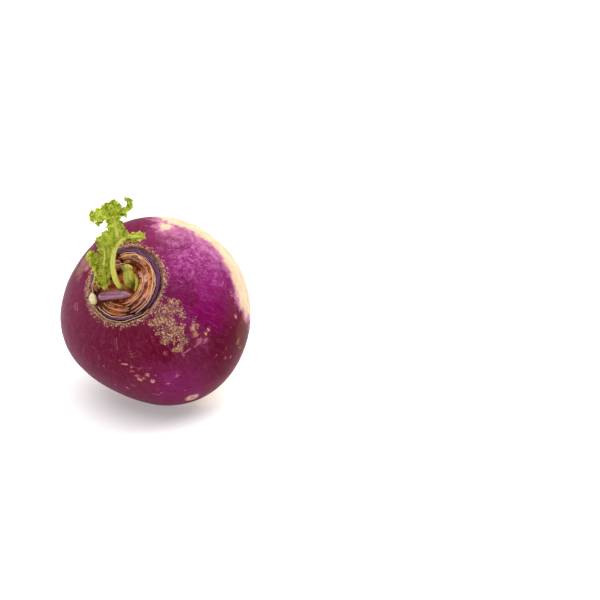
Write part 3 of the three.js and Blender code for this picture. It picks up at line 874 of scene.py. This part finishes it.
def spot_group():
    """A round spot on the skin: 1 inside, 0 outside, its edge broken up by Waver."""
    inputs = dict(Vector="Direction, Middle", Float="Inner, Outer, Waver")
    group = Group("skin spot", inputs, dict(Float="Mask"))
    given = group.entry
    uneven = given["Direction"].angle_from(given["Middle"]) + given["Waver"]
    return group.give(Mask=uneven.ramp(given["Inner"], given["Outer"], 1.0, 0.0))


def scratch_group():
    """A thin straight mark on the skin. Normal is square to its plane through the middle of the root."""
    inputs = dict(Vector="Direction, Normal, Middle", Float="Width, Half length, Waver")
    group = Group("skin scratch", inputs, dict(Float="Mask"))
    given = group.entry
    out = given["Direction"]
    off = out.vector("DOT_PRODUCT", given["Normal"]) + given["Waver"]
    thin = off.calc("ABSOLUTE").calc("LESS_THAN", given["Width"])
    return group.give(Mask=thin * out.angle_from(given["Middle"]).calc("LESS_THAN", given["Half length"]))


def speckle_group():
    """Grains of noise above a level: 1 in the grains, 0 between them."""
    group = Group("speckle", dict(Vector="Vector", Float="Scale, Low, High"), dict(Float="Mask, Grain"))
    given = group.entry
    fine = group.noise(given["Vector"], given["Scale"], 4.0, 0.65)
    return group.give(Mask=fine.ramp(given["Low"], given["High"]), Grain=fine)


def dots_group():
    """Round dots of uneven size: 1 in the dots, 0 between them."""
    group = Group("dots", dict(Vector="Vector", Float="Scale"), dict(Float="Mask"))
    cells = group.add("TexVoronoi", Vector=group.entry["Vector"], Scale=group.entry["Scale"])
    radius = group.add("SeparateColor", cells["Color"])[0].ramp(0.0, 1.0, 0.22, 0.56)
    return group.give(Mask=(radius - cells["Distance"]).ramp(-0.08, 0.1))


def fibre_group():
    """Fibres along a piece, from its own along, across and rise numbers."""
    group = Group("fibres", dict(Float="Fineness, Length"), dict(Float="Fibres, Along, Across, Rise"))
    along, across, rise = (group.add("Attribute", attribute_name=name)["Fac"] for name in KEPT)
    fineness = group.entry["Fineness"]
    drawn_out = along.calc("DIVIDE", group.entry["Length"])
    vector = group.add("CombineXYZ", drawn_out, across * fineness, rise * fineness)[0]
    return group.give(Fibres=group.noise(vector, 1.0, 3.0, 0.6), Along=along, Across=across, Rise=rise)


# Colours of the cut crown: angle, radius, half length along the arc in mm, colour, share
CROWN_TINTS = [
    (96, 11.8, 3.0, (215, 158, 109), 0.9),
    (77, 12.3, 3.0, (228, 180, 143), 0.9),
    (84, 10.8, 1.8, (105, 43, 21), 0.8),
    (74, 9.4, 2.6, (109, 25, 26), 0.9),
    (60, 9.2, 2.2, (129, 50, 20), 0.9),
    (57, 11.8, 1.6, (201, 116, 94), 0.8),
    (48, 12.2, 1.6, (150, 45, 56), 0.8),
    (42, 10.0, 2.4, (173, 100, 46), 0.9),
    (42, 8.2, 1.6, (128, 56, 30), 0.8),
    (38, 7.2, 1.6, (224, 165, 151), 0.9),
    (20, 9.2, 2.8, (228, 176, 150), 0.9),
    (18, 11.2, 2.6, (185, 120, 64), 0.8),
    (0, 9.0, 2.6, (109, 15, 36), 0.9),
    (0, 11.0, 2.4, (194, 116, 69), 0.8),
    (-8, 7.0, 2.6, (203, 141, 94), 0.9),
    (-22, 8.6, 2.2, (117, 22, 30), 0.9),
    (-22, 10.6, 2.2, (215, 143, 128), 0.8),
    (-38, 8.8, 2.4, (184, 93, 63), 0.9),
    (-40, 11.6, 3.2, (78, 14, 38), 0.9),
    (-52, 8.8, 2.0, (171, 84, 32), 0.8),
    (-62, 10.8, 3.2, (83, 18, 36), 0.85),
    (-78, 9.0, 2.6, (166, 84, 39), 0.8),
    (-84, 11.2, 2.4, (128, 50, 32), 0.8),
    (-100, 9.9, 3.2, (173, 92, 26), 0.9),
    (-112, 11.2, 1.6, (71, 36, 18), 0.9),
    (-116, 8.6, 2.0, (171, 92, 82), 0.7),
    (-90, 7.2, 3.5, (88, 21, 26), 0.8),
]
TINT_ARC_RADIUS = 9.5
TINT_NARROWNESS = 1.8  # how much narrower than long a tint is
TINT_MIDDLE = (PLATE_SHIFT[0], -0.1, 0)
TINT_OUTER, TINT_INNER = 1.4, 0.75  # where a tint starts and is full, in half lengths


def crown_tint_group():
    """Lays the colours of the cut crown over a ground colour, by angle and distance round its middle."""
    group = Group("crown tints", dict(Vector="Place", Float="Waver", Color="Ground"), dict(Color="Colour"))
    level = group.entry["Place"].vector("MULTIPLY", (1, 1, 0)).vector("SUBTRACT", TINT_MIDDLE)
    x, y, _ = level.parts()
    arc = y.calc("ARCTAN2", x) * TINT_ARC_RADIUS
    polar = group.add("CombineXYZ", arc, level.vector("LENGTH") * TINT_NARROWNESS)[0]
    colour = group.entry["Ground"]
    for turn, radius, half_length, tint, share in CROWN_TINTS:
        at = (math.radians(turn) * TINT_ARC_RADIUS, radius * TINT_NARROWNESS, 0)
        away = polar.vector("SUBTRACT", at).vector("LENGTH") + group.entry["Waver"]
        covers = away.ramp(half_length * TINT_OUTER, half_length * TINT_INNER, 0.0, share)
        colour = group.mix(covers, colour, tint)
    return group.give(Colour=colour)


ROOT_PLACE_GROUP = root_place_group()
SPOT = spot_group()
SCRATCH = scratch_group()
SPECKLE = speckle_group()
DOTS = dots_group()
FIBRES = fibre_group()
CROWN_TINT = crown_tint_group()


# ---- Finishes ----

WINE = (100, 28, 54)
# Broad changes of the purple, with painted shade on the right side: polar, around, inner and outer edge in
# degrees, colour, share
PURPLE_CHANGES_AND_SHADE = [
    (60, -150, 10, 60, (112, 44, 68), 0.9),
    (45, -80, 5, 50, (94, 18, 42), 0.9),
    (50, 25, 8, 48, (122, 26, 92), 1.0),
    (78, -52, 5, 34, (110, 22, 74), 0.9),
    # painted shade on the right side, as cast by a turnip lying beside this one
    (84, -12, 8, 36, (84, 0, 30), 0.95),
    (64, 2, 3, 20, (112, 0, 72), 0.7),
    (60, 75, 8, 40, (136, 50, 98), 0.6),
    (31, 8, 3, 15, (84, 14, 40), 0.6),
    (47, 150, 2, 9, (156, 112, 106), 0.45),
    (40, 166, 2, 9, (164, 122, 106), 0.5),
    (95, -100, 10, 45, (98, 30, 60), 0.8),
    (53, -44, 3, 15, (88, 0, 22), 0.7),
    (68, -51, 2, 9, (130, 40, 98), 0.4),
    # painted shade at the right edge, brown and orange-brown, as cast by a turnip lying beside this one
    (96, -5, 2, 10, (76, 18, 10), 0.7),
    (91, 2, 2, 7, (110, 52, 36), 0.4),
]
# A pale mottle high on the side, where it is also the painted highlight, and fine cracks at the front: polar,
# around, inner and outer edge
PALE_MOTTLE_AND_HIGHLIGHT = (50, 44, 6, 30)
CRACKED = (50, -85, 8, 40)
CREAM = (214, 194, 166)
CREAM_DEEP = (206, 176, 138)
BLUSH = (180, 112, 142)
# Where the cream starts, in degrees: everywhere below a polar angle, in a spot high on the side,
# and on the cream side as far up as the edge of the purple cap. Polar, around, radius
CREAM_BELOW = 118
CREAM_SPOT = (51, 79, 5)
CREAM_SIDE = (99, 59, 50.5)
PURPLE_CAP = (22, -12, 59)

# Small marks on the skin: polar, around, half width in degrees, colour, share
SKIN_MARKS = [
    (63.1, -71.6, 1.3, (196, 150, 116), 0.85),
    (62.5, -68.8, 1.1, (178, 126, 84), 0.8),
    (60.7, -64.9, 1.0, (190, 140, 110), 0.8),
    (60.3, -72.6, 0.8, (176, 124, 92), 0.7),
    (66.4, -64.1, 1.2, (222, 164, 158), 0.9),
    (55.4, -69.1, 0.8, (140, 88, 72), 0.7),
    (57.0, -61.6, 0.7, (150, 92, 84), 0.7),
    (56.7, -75.1, 0.6, (206, 122, 140), 0.7),
    (72.6, -83.9, 0.6, (206, 150, 160), 0.7),
    (69.0, -48.5, 1.0, (168, 108, 106), 0.7),
    (72.2, -56.4, 0.5, (200, 130, 150), 0.6),
    (52.7, -17.5, 1.8, (196, 142, 118), 0.8),
    (56.2, -20.6, 1.8, (176, 124, 88), 0.75),
    (61.2, -22.3, 1.9, (178, 100, 130), 0.65),
    (64.2, -19.7, 1.4, (182, 104, 132), 0.65),
    (54.2, -32.6, 1.2, (180, 108, 128), 0.7),
    (51.7, -45.4, 1.1, (160, 90, 104), 0.6),
    (62.0, -15.9, 1.1, (206, 142, 110), 0.8),
    (62.3, -12.9, 0.9, (220, 158, 118), 0.8),
    (77.6, -23.4, 0.6, (176, 80, 124), 0.7),
    (86.1, -21.1, 0.8, (178, 84, 118), 0.7),
    (91.0, -18.9, 0.8, (172, 84, 104), 0.7),
    (81.7, -16.2, 0.6, (168, 70, 104), 0.7),
    (72.0, 16.8, 0.6, (206, 130, 150), 0.6),
    (72.3, 14.3, 0.5, (196, 120, 146), 0.6),
    (79.9, 3.2, 1.1, (206, 130, 128), 0.8),
    (33.9, 167, 2.0, (180, 130, 140), 0.6),
    (90.6, -8.7, 1.9, (150, 104, 62), 0.7),
    (97.6, -10.4, 1.9, (132, 74, 40), 0.7),
    (96.8, -51.8, 4.0, (214, 172, 160), 0.95),
    (96.8, -51.8, 2.2, (142, 98, 78), 0.85),
]

# Scratches: polar and around of each end, half width in degrees, colour, share
SCRATCHES = [
    (38.3, -153.6, 39.1, -145.4, 0.3, (186, 130, 142), 0.5),
    (36.0, -151.9, 37.0, -144.6, 0.3, (186, 130, 142), 0.5),
    (34.7, -83.3, 42.5, -83.5, 0.25, (160, 106, 92), 0.5),
    (34.4, -85.6, 39.2, -86.2, 0.2, (150, 96, 86), 0.4),
    (51.1, -81.9, 51.6, -76.5, 0.4, (206, 152, 132), 0.75),
    (45.2, -74.2, 45.0, -67.6, 0.2, (150, 96, 80), 0.4),
    (46.9, -73.1, 46.8, -68.4, 0.2, (150, 96, 80), 0.4),
    (52.1, -74.9, 54.6, -70.4, 0.2, (158, 96, 100), 0.5),
    (58.8, -37.1, 59.8, -29.9, 0.4, (178, 100, 120), 0.6),
    (61.2, -27.6, 61.6, -23.3, 0.45, (182, 110, 124), 0.6),
    (61.3, 19.0, 63.7, 18.1, 0.25, (196, 120, 150), 0.5),
    (63.7, 18.1, 65.9, 21.8, 0.2, (196, 120, 150), 0.5),
    (78.5, -69.0, 80.9, -65.6, 0.3, (176, 110, 146), 0.5),
    (67.4, -79.8, 70.3, -77.4, 0.25, (180, 110, 130), 0.5),
]


def skin_material():
    """Wine-purple skin that turns cream at the root end, with cork round the crown and all its marks."""
    skin = Material("turnip skin", 0.4, 0.028)
    skin.set(Specular_Tint=(1.0, 0.5, 0.8, 1.0))
    where = skin.group(ROOT_PLACE_GROUP)
    place, out, meridian = where["Place"], where["Direction"], where["Meridian"]
    slow = skin.noise(place, 0.06)
    blotch = skin.noise(place, 0.22, 4.0, 0.6)
    mottle = skin.noise(place, 0.5, 5.0, 0.7)
    fine = skin.noise(place, 1.6, 4.0, 0.7)
    streaks = skin.noise(meridian, 30.0, 4.0, 0.6)
    fine_streaks = skin.noise(meridian, 110.0, 3.0, 0.7)
    cracks = skin.noise(where["Rings"], 14.0, 3.0, 0.6)
    waver = blotch.ramp(0.25, 0.75, -0.14, 0.14)
    waver_slow = slow.ramp(0.25, 0.75, -0.2, 0.2)
    waver_small = fine.ramp(0.3, 0.7, -0.02, 0.02)
    up = out.parts()[2]
    polar = up.calc("ARCCOSINE")

    def spot(row, inner, outer, uneven=waver):
        """The mask of a round spot, from a row that starts with polar and around."""
        return skin.group(
            SPOT, Direction=out, Middle=tuple(direction(*row[:2])), Inner=math.radians(inner),
            Outer=math.radians(outer), Waver=uneven,
        )["Mask"]

    skin.colour = WINE
    # Broad changes of the purple, and painted shade on the right side.
    for row in PURPLE_CHANGES_AND_SHADE:
        skin.coat(spot(row, row[2], row[3], waver_slow) * row[5], row[4])

    # Streaks down from the crown and a mottle, each paler or darker than the purple under it:
    # pattern, from, to, share, where, colour
    crown_half = up.ramp(0.0, 0.5, 0.2, 1.0)
    mottle_and_highlight = spot(PALE_MOTTLE_AND_HIGHLIGHT, *PALE_MOTTLE_AND_HIGHLIGHT[2:])
    cracked = spot(CRACKED, *CRACKED[2:])
    for pattern, low, high, share, within, tint in [
        (streaks, 0.52, 0.8, 0.35, crown_half, (158, 70, 122)),
        (streaks, 0.48, 0.28, 0.35, None, (66, 0, 26)),
        (mottle, 0.47, 0.3, 0.4, None, (72, 0, 34)),
        (mottle, 0.53, 0.75, 0.3, crown_half, (150, 62, 104)),
        # These two rows paint the broad highlight high on the side, as a pale lavender mottle.
        (mottle, 0.44, 0.66, 0.5, mottle_and_highlight, (180, 96, 156)),
        (fine, 0.5, 0.7, 0.5, mottle_and_highlight, (206, 136, 182)),
        (fine, 0.56, 0.78, 0.4, crown_half, (150, 80, 104)),
        (cracks, 0.6, 0.68, 0.35, cracked, (150, 92, 88)),
    ]:
        mask = pattern.ramp(low, high, 0.0, share)
        skin.coat(mask if within is None else mask * within, tint)

    # Sparse pale specks.
    cells = skin.add("TexVoronoi", Vector=place, Scale=0.3)["Distance"]
    skin.coat(cells.calc("LESS_THAN", blotch.ramp(0.4, 0.65, 0.0, 0.13)) * 0.5, (196, 128, 148))

    # The root end, which grew under the soil, is cream, with a blush between it and the purple.
    def beyond(row):
        return out.angle_from(tuple(direction(*row[:2]))) - math.radians(row[2])

    side_depth = beyond(PURPLE_CAP).calc("SMOOTH_MIN", beyond(CREAM_SIDE) * -1.0, 0.12)
    depth = (polar - math.radians(CREAM_BELOW)).calc("SMOOTH_MAX", side_depth, 0.3)
    depth = depth.or_more(beyond(CREAM_SPOT) * -1.0)
    broken = depth + blotch.ramp(0.2, 0.8, -0.06, 0.06) + mottle.ramp(0.2, 0.8, -0.04, 0.04)
    broken = broken + streaks.ramp(0.25, 0.75, -0.015, 0.015)
    # A lavender paling near the cream, only within the painted highlight.
    paling_and_highlight = broken.ramp(-0.3, -0.02, 0.0, 0.6) * mottle_and_highlight * mottle.ramp(0.35, 0.6, 0.5, 1.0)
    skin.coat(paling_and_highlight, (196, 134, 170))
    skin.coat(broken.ramp(-0.1, 0.0) * fine.ramp(0.3, 0.55, 0.6, 0.95), BLUSH)
    creamy = broken.ramp(-0.02, 0.06)
    line_share = polar.ramp(2.3, 2.9, 0.3, 0.8) + mottle.ramp(0.4, 0.6, -0.25, 0.15)
    lines = cracks.ramp(0.56, 0.64).calc("MULTIPLY", line_share, clamp=True)
    cream = skin.mix(blotch.ramp(0.35, 0.7), CREAM, CREAM_DEEP)
    cream = skin.mix(lines, cream, (168, 128, 92))
    skin.coat(creamy, skin.mix(polar.ramp(2.45, 3.0, 0.0, 0.35), cream, (182, 146, 104)))

    # Corky patch, scuffs and scabs.
    speck = skin.group(SPECKLE, Vector=place, Scale=1.7, Low=0.46, High=0.58)
    dots = skin.group(DOTS, Vector=place, Scale=1.45)["Mask"]
    light = dots.or_more(speck["Mask"] * 0.45) * mottle.ramp(0.68, 0.46, 0.45, 1.0)
    cork = skin.mix(light, (92, 44, 52), (204, 160, 128))
    cork = skin.mix(blotch.ramp(0.48, 0.32, 0.0, 0.45), cork, (170, 132, 90))
    patch = reduce(Value.or_more, [spot(row, row[2] * 0.2, row[2] * 1.7) for row in CORKY_PATCH])
    patch = patch + mottle.ramp(0.35, 0.65, -0.25, 0.15)
    patch = (patch.ramp(0.1, 0.45, 0.0, 0.9) * dots).or_more(patch.ramp(0.4, 0.95, 0.0, 0.75))
    skin.coat(patch, cork)
    for row in SKIN_MARKS:
        skin.coat(spot(row, row[2] * 0.5, row[2] * 1.2, waver_small) * row[4], row[3])
    for start_polar, start_around, end_polar, end_around, half_width, tint, share in SCRATCHES:
        start, end = direction(start_polar, start_around), direction(end_polar, end_around)
        mask = skin.group(
            SCRATCH, Direction=out, Normal=tuple(unit(np.cross(start, end))), Middle=tuple(unit(start + end)),
            Width=math.radians(half_width), Half_length=math.acos(start @ end) / 2, Waver=waver_small * 0.35,
        )["Mask"]
        skin.coat(mask * share, tint)

    # The corky ring round the crown, and the dark dry plate inside it. Distances in millimetres.
    near_crown = where["Height"].ramp(20.0, 26.0)
    inner_edge = where["Crown distance"] + fine.ramp(0.3, 0.7, -0.5, 0.5)
    outer_edge = where["Crown distance"] + mottle.ramp(0.35, 0.65, 0.6, -0.6)
    ring = outer_edge.ramp(16.9, 15.9).or_more(outer_edge.ramp(18.0, 17.0, 0.0, 0.85) * dots)
    ring = ring * inner_edge.ramp(14.1, 14.6) * near_crown
    skin.coat(ring, skin.mix(0.2, cork, (214, 168, 136)))
    plate = inner_edge.ramp(14.8, 14.2) * near_crown
    dry = skin.mix(blotch.ramp(0.4, 0.65), (62, 18, 28), (112, 56, 40))
    fleshy = skin.mix(mottle.ramp(0.4, 0.62), (112, 44, 30), (176, 98, 56))
    skin.coat(plate, skin.mix(inner_edge.ramp(10.5, 8.0), dry, fleshy))

    rough = patch.or_more(ring).or_more(plate)
    skin.set(Roughness=fine.ramp(0.3, 0.7, 0.36, 0.46).calc("ADD", rough * 0.4, clamp=True))
    height = fine * 0.35 + fine_streaks * 0.25 + mottle * 0.5 - lines * creamy * 0.6
    return skin.finish(height + rough * (speck["Grain"] * 3.0), 0.12)


def fibrous(name, roughness, specular, fineness, length, under, over, low=0.35, high=0.65):
    """A material whose colour runs from one to another in fibres, and the outputs of those fibres."""
    made = Material(name, roughness, specular)
    fibres = made.group(FIBRES, Fineness=fineness, Length=length)
    made.colour = made.mix(fibres["Fibres"].ramp(low, high), under, over)
    return made, fibres


def base_material(name, ground, light, dark, pink, pale_rim_and_highlight=0.4):
    """A cut leaf base: brown and orange flesh with paler edges, dark red blotches and pink streaks, a painted
    highlight along its pale top rim and painted shade at its foot.
    """
    base, fibres = fibrous(name, 0.6, 0.12, 5.0, 1.6, ground, light)
    streaks, rise = fibres["Fibres"], fibres["Rise"]
    place = base.group(ROOT_PLACE_GROUP)["Place"]
    base.coat(base.noise(place, 0.5).ramp(0.52, 0.66, 0.0, 0.8), pink)
    waver = base.noise(place, 0.9, 4.0, 0.6).ramp(0.25, 0.75, -1.3, 1.3)
    base.colour = base.group(CROWN_TINT, Place=place, Waver=waver, Ground=base.colour)["Colour"]
    base.coat(streaks.ramp(0.58, 0.78, 0.0, 0.3), (242, 206, 162))
    base.coat(streaks.ramp(0.47, 0.3, 0.0, 0.7), dark)
    base.coat(base.group(SPECKLE, Vector=place, Scale=0.8, Low=0.48, High=0.6)["Mask"] * 0.85, dark)
    # The pale top outer rim: the cut flesh's paler edge, and a painted highlight.
    base.coat(fibres["Across"].ramp(0.74, 0.92) * rise.ramp(0.6, 0.9) * pale_rim_and_highlight, (236, 204, 158))
    # Painted shade at the foot, down between the leaf bases.
    base.coat(rise.ramp(0.5, 0.1, 0.0, 0.85), dark)
    return base.finish(streaks, 0.25)


def scar_material():
    """The smooth violet band of old leaf scars inside the corky ring."""
    scar, fibres = fibrous("leaf scar", 0.38, 0.4, 4.0, 3.0, (62, 18, 58), (100, 42, 96))
    place = scar.group(ROOT_PLACE_GROUP)["Place"]
    worn = scar.group(SPECKLE, Vector=place, Scale=0.8, Low=0.6, High=0.7)["Mask"]
    scar.coat(worn * 0.7, (150, 106, 96))
    return scar.finish(fibres["Fibres"], 0.12)


def sheath_material():
    """Dry papery skin, cream at its torn top and brown lower down."""
    sheath, fibres = fibrous("dry sheath", 0.7, 0.25, 3.0, 0.5, (176, 128, 92), (226, 190, 148))
    sheath.coat(fibres["Rise"].ramp(0.8, 0.3, 0.0, 0.9), (88, 34, 34))
    return sheath.finish(fibres["Fibres"], 0.1)


def plant_material(name, dark, middle, light, roughness=0.42, fineness=6.0):
    """Living stalk or bud tissue with long fibres."""
    plant, fibres = fibrous(name, roughness, 0.4, fineness, 0.6, middle, light, 0.4, 0.66)
    place = plant.group(ROOT_PLACE_GROUP)["Place"]
    plant.coat(plant.noise(place, 0.35).ramp(0.5, 0.7, 0.0, 0.8), dark)
    plant.flesh(0.15, (1.0, 0.9, 0.3), 1.2)
    return plant.finish(fibres["Fibres"], 0.12)


def leaf_material():
    """Crisped yellow-green blades, duller near the crown, with pale ribs, and darker blotches that are
    painted shade in the hollows and gaps of the blades.
    """
    blade = Material("young leaf", 0.45, 0.35)
    where = blade.group(ROOT_PLACE_GROUP)
    place = where["Place"]
    fibres = blade.group(FIBRES, Fineness=2.0, Length=1.0)
    edge = fibres["Across"].calc("ABSOLUTE")
    tissue = blade.noise(place, 0.7, 4.0, 0.6)
    blade.colour = blade.mix(tissue.ramp(0.35, 0.65), (134, 150, 4), (192, 206, 46))
    low = where["Height"].ramp(56.0, 42.0)
    blade.coat(low * 0.45, (152, 134, 26))
    slant = fibres["Along"] * 0.75 - edge * 1.6
    side_ribs = (slant * math.pi).calc("SINE").calc("ABSOLUTE").ramp(0.22, 0.05)
    veins = edge.ramp(0.12, 0.03).or_more(side_ribs * 0.6)
    blade.coat(veins * 0.65, (214, 212, 108))
    # Dark spots and olive patches: painted shade in the hollows and gaps between the crinkles.
    blade.coat(blade.noise(place, 1.1, 2.0).ramp(0.6, 0.7, 0.0, 0.5), (84, 96, 2))
    blade.coat(blade.noise(place, 0.34, 3.0, 0.6).ramp(0.5, 0.64, 0.0, 0.55), (98, 104, 0))
    # Brown patches on the low leaf: painted shade in the gaps under its blades.
    blade.coat(blade.noise(place, 0.42, 2.0).ramp(0.62, 0.7, 0.0, 0.8) * low, (122, 84, 42))
    blade.flesh(0.25, (0.9, 1.0, 0.2), 1.0)
    return blade.finish(tissue - veins * 0.5, 0.25)


def plain_material(name, colour, roughness):
    plain = Material(name, roughness, 0.3)
    grains = plain.noise(plain.add("TexCoord")["Object"], 9.0, 2.0)
    plain.colour = plain.mix(grains.ramp(0.3, 0.7, 0.0, 0.06), colour, (0.8, 0.8, 0.8, 1))
    return plain.finish()


# ---- Floor and light ----

TURNIP_MIDDLE = (0, 0, 0.04)
FLOOR_GLOW = 0.27


def floor():
    bm = bmesh.new()
    bmesh.ops.create_grid(bm, x_segments=1, y_segments=1, size=4)
    mesh = bpy.data.meshes.new("floor")
    bm.to_mesh(mesh)
    bm.free()
    paper = plain_material("pale floor", (0.85, 0.85, 0.85, 1), 0.7)
    shader = paper.node_tree.nodes["Principled BSDF"]
    shader.inputs["Emission Color"].default_value = (1, 0.98, 0.98, 1)
    shader.inputs["Emission Strength"].default_value = FLOOR_GLOW
    mesh.materials.append(paper)
    shown("floor", mesh)


def softbox(name, place, size, power):
    lamp = bpy.data.lights.new(name, "AREA")
    lamp.shape = "DISK"
    lamp.size = size
    lamp.energy = power
    shown(name, lamp, place, TURNIP_MIDDLE)


def room_light(strength):
    world = bpy.data.worlds.new("white room")
    world.use_nodes = True
    background = world.node_tree.nodes["Background"]
    background.inputs["Color"].default_value = (1, 1, 1, 1)
    background.inputs["Strength"].default_value = strength
    bpy.context.scene.world = world


floor()
room_light(0.35)
softbox("key", (0.55, 0.25, 0.75), 0.8, 7.0)
softbox("top", (-0.2, -0.1, 1.1), 1.4, 15.0)
softbox("front", (-0.2, -1.0, 0.5), 1.0, 1.5)

# ---- The turnip ----

swollen_root(skin_material())
BROWN = base_material("leaf base flesh", (152, 66, 30), (190, 112, 64), (88, 16, 18), (176, 92, 84))
PALE = base_material("pale leaf base", (160, 76, 42), (200, 134, 88), (104, 16, 18), (176, 88, 78), 0.6)
DARK = base_material("dark leaf base", (120, 66, 40), (168, 112, 66), (60, 18, 26), (140, 84, 84))
SCAR = scar_material()
BUD = plant_material("crown bud", (92, 84, 6), (150, 146, 28), (188, 184, 80))
GROWTH_FINISHES = {
    "leaf_scar_outer": (SCAR, "scar"),
    "leaf_scar_lower": (SCAR, "scar"),
    "leaf_scar_left": (SCAR, "scar"),
    "leaf_base_right_outer": (PALE, "leaf_base"),
    "leaf_base_right_inner": (PALE, "leaf_base"),
    "leaf_base_upper": (DARK, "leaf_base"),
    "leaf_base_left": (DARK, "leaf_base"),
    "leaf_base_left_inner": (DARK, "leaf_base"),
    "leaf_base_middle": (DARK, "leaf_base"),
    "bud_scale": (BUD, "bud"),
}
for row in LEAF_BASES:
    leaf_base(row, *GROWTH_FINISHES.get(row[0], (BROWN, "leaf_base")))
SHEATH = sheath_material()
for number, row in enumerate(SHEATHS, 1):
    dry_sheath(number, row, SHEATH)
CUT = plant_material("cut stalk", (104, 54, 56), (128, 74, 98), (172, 128, 156))
strip_piece("cut_stalk", CUT_STALK, creased_stalk, CUT)
CREAM_BUD = plant_material("side bud", (172, 162, 100), (210, 202, 150), (238, 232, 200))
strip_piece("side_bud", SIDE_BUD, forked_tip, CREAM_BUD)
strip_piece("crown_bud", CROWN_BUD, folded_bud, BUD)
LEAF = leaf_material()
LEAF_STALK = plant_material("leaf stalk", (146, 144, 22), (178, 180, 54), (206, 204, 104), 0.4, 8.0)
leaf("tall_leaf", TALL_STALKS, TALL_LOBES, LEAF, LEAF_STALK)
leaf("low_leaf", LOW_STALKS, LOW_LOBES, LEAF, LEAF_STALK)
BRISTLE = plain_material("leaf bristle", (220, 226, 160), 0.5)
bristles("tall_leaf_bristles", TALL_STALKS, 70, BRISTLE)
bristles("low_leaf_bristles", LOW_STALKS, 50, BRISTLE)
rootlets(plain_material("rootlet", (226, 196, 150), 0.7))
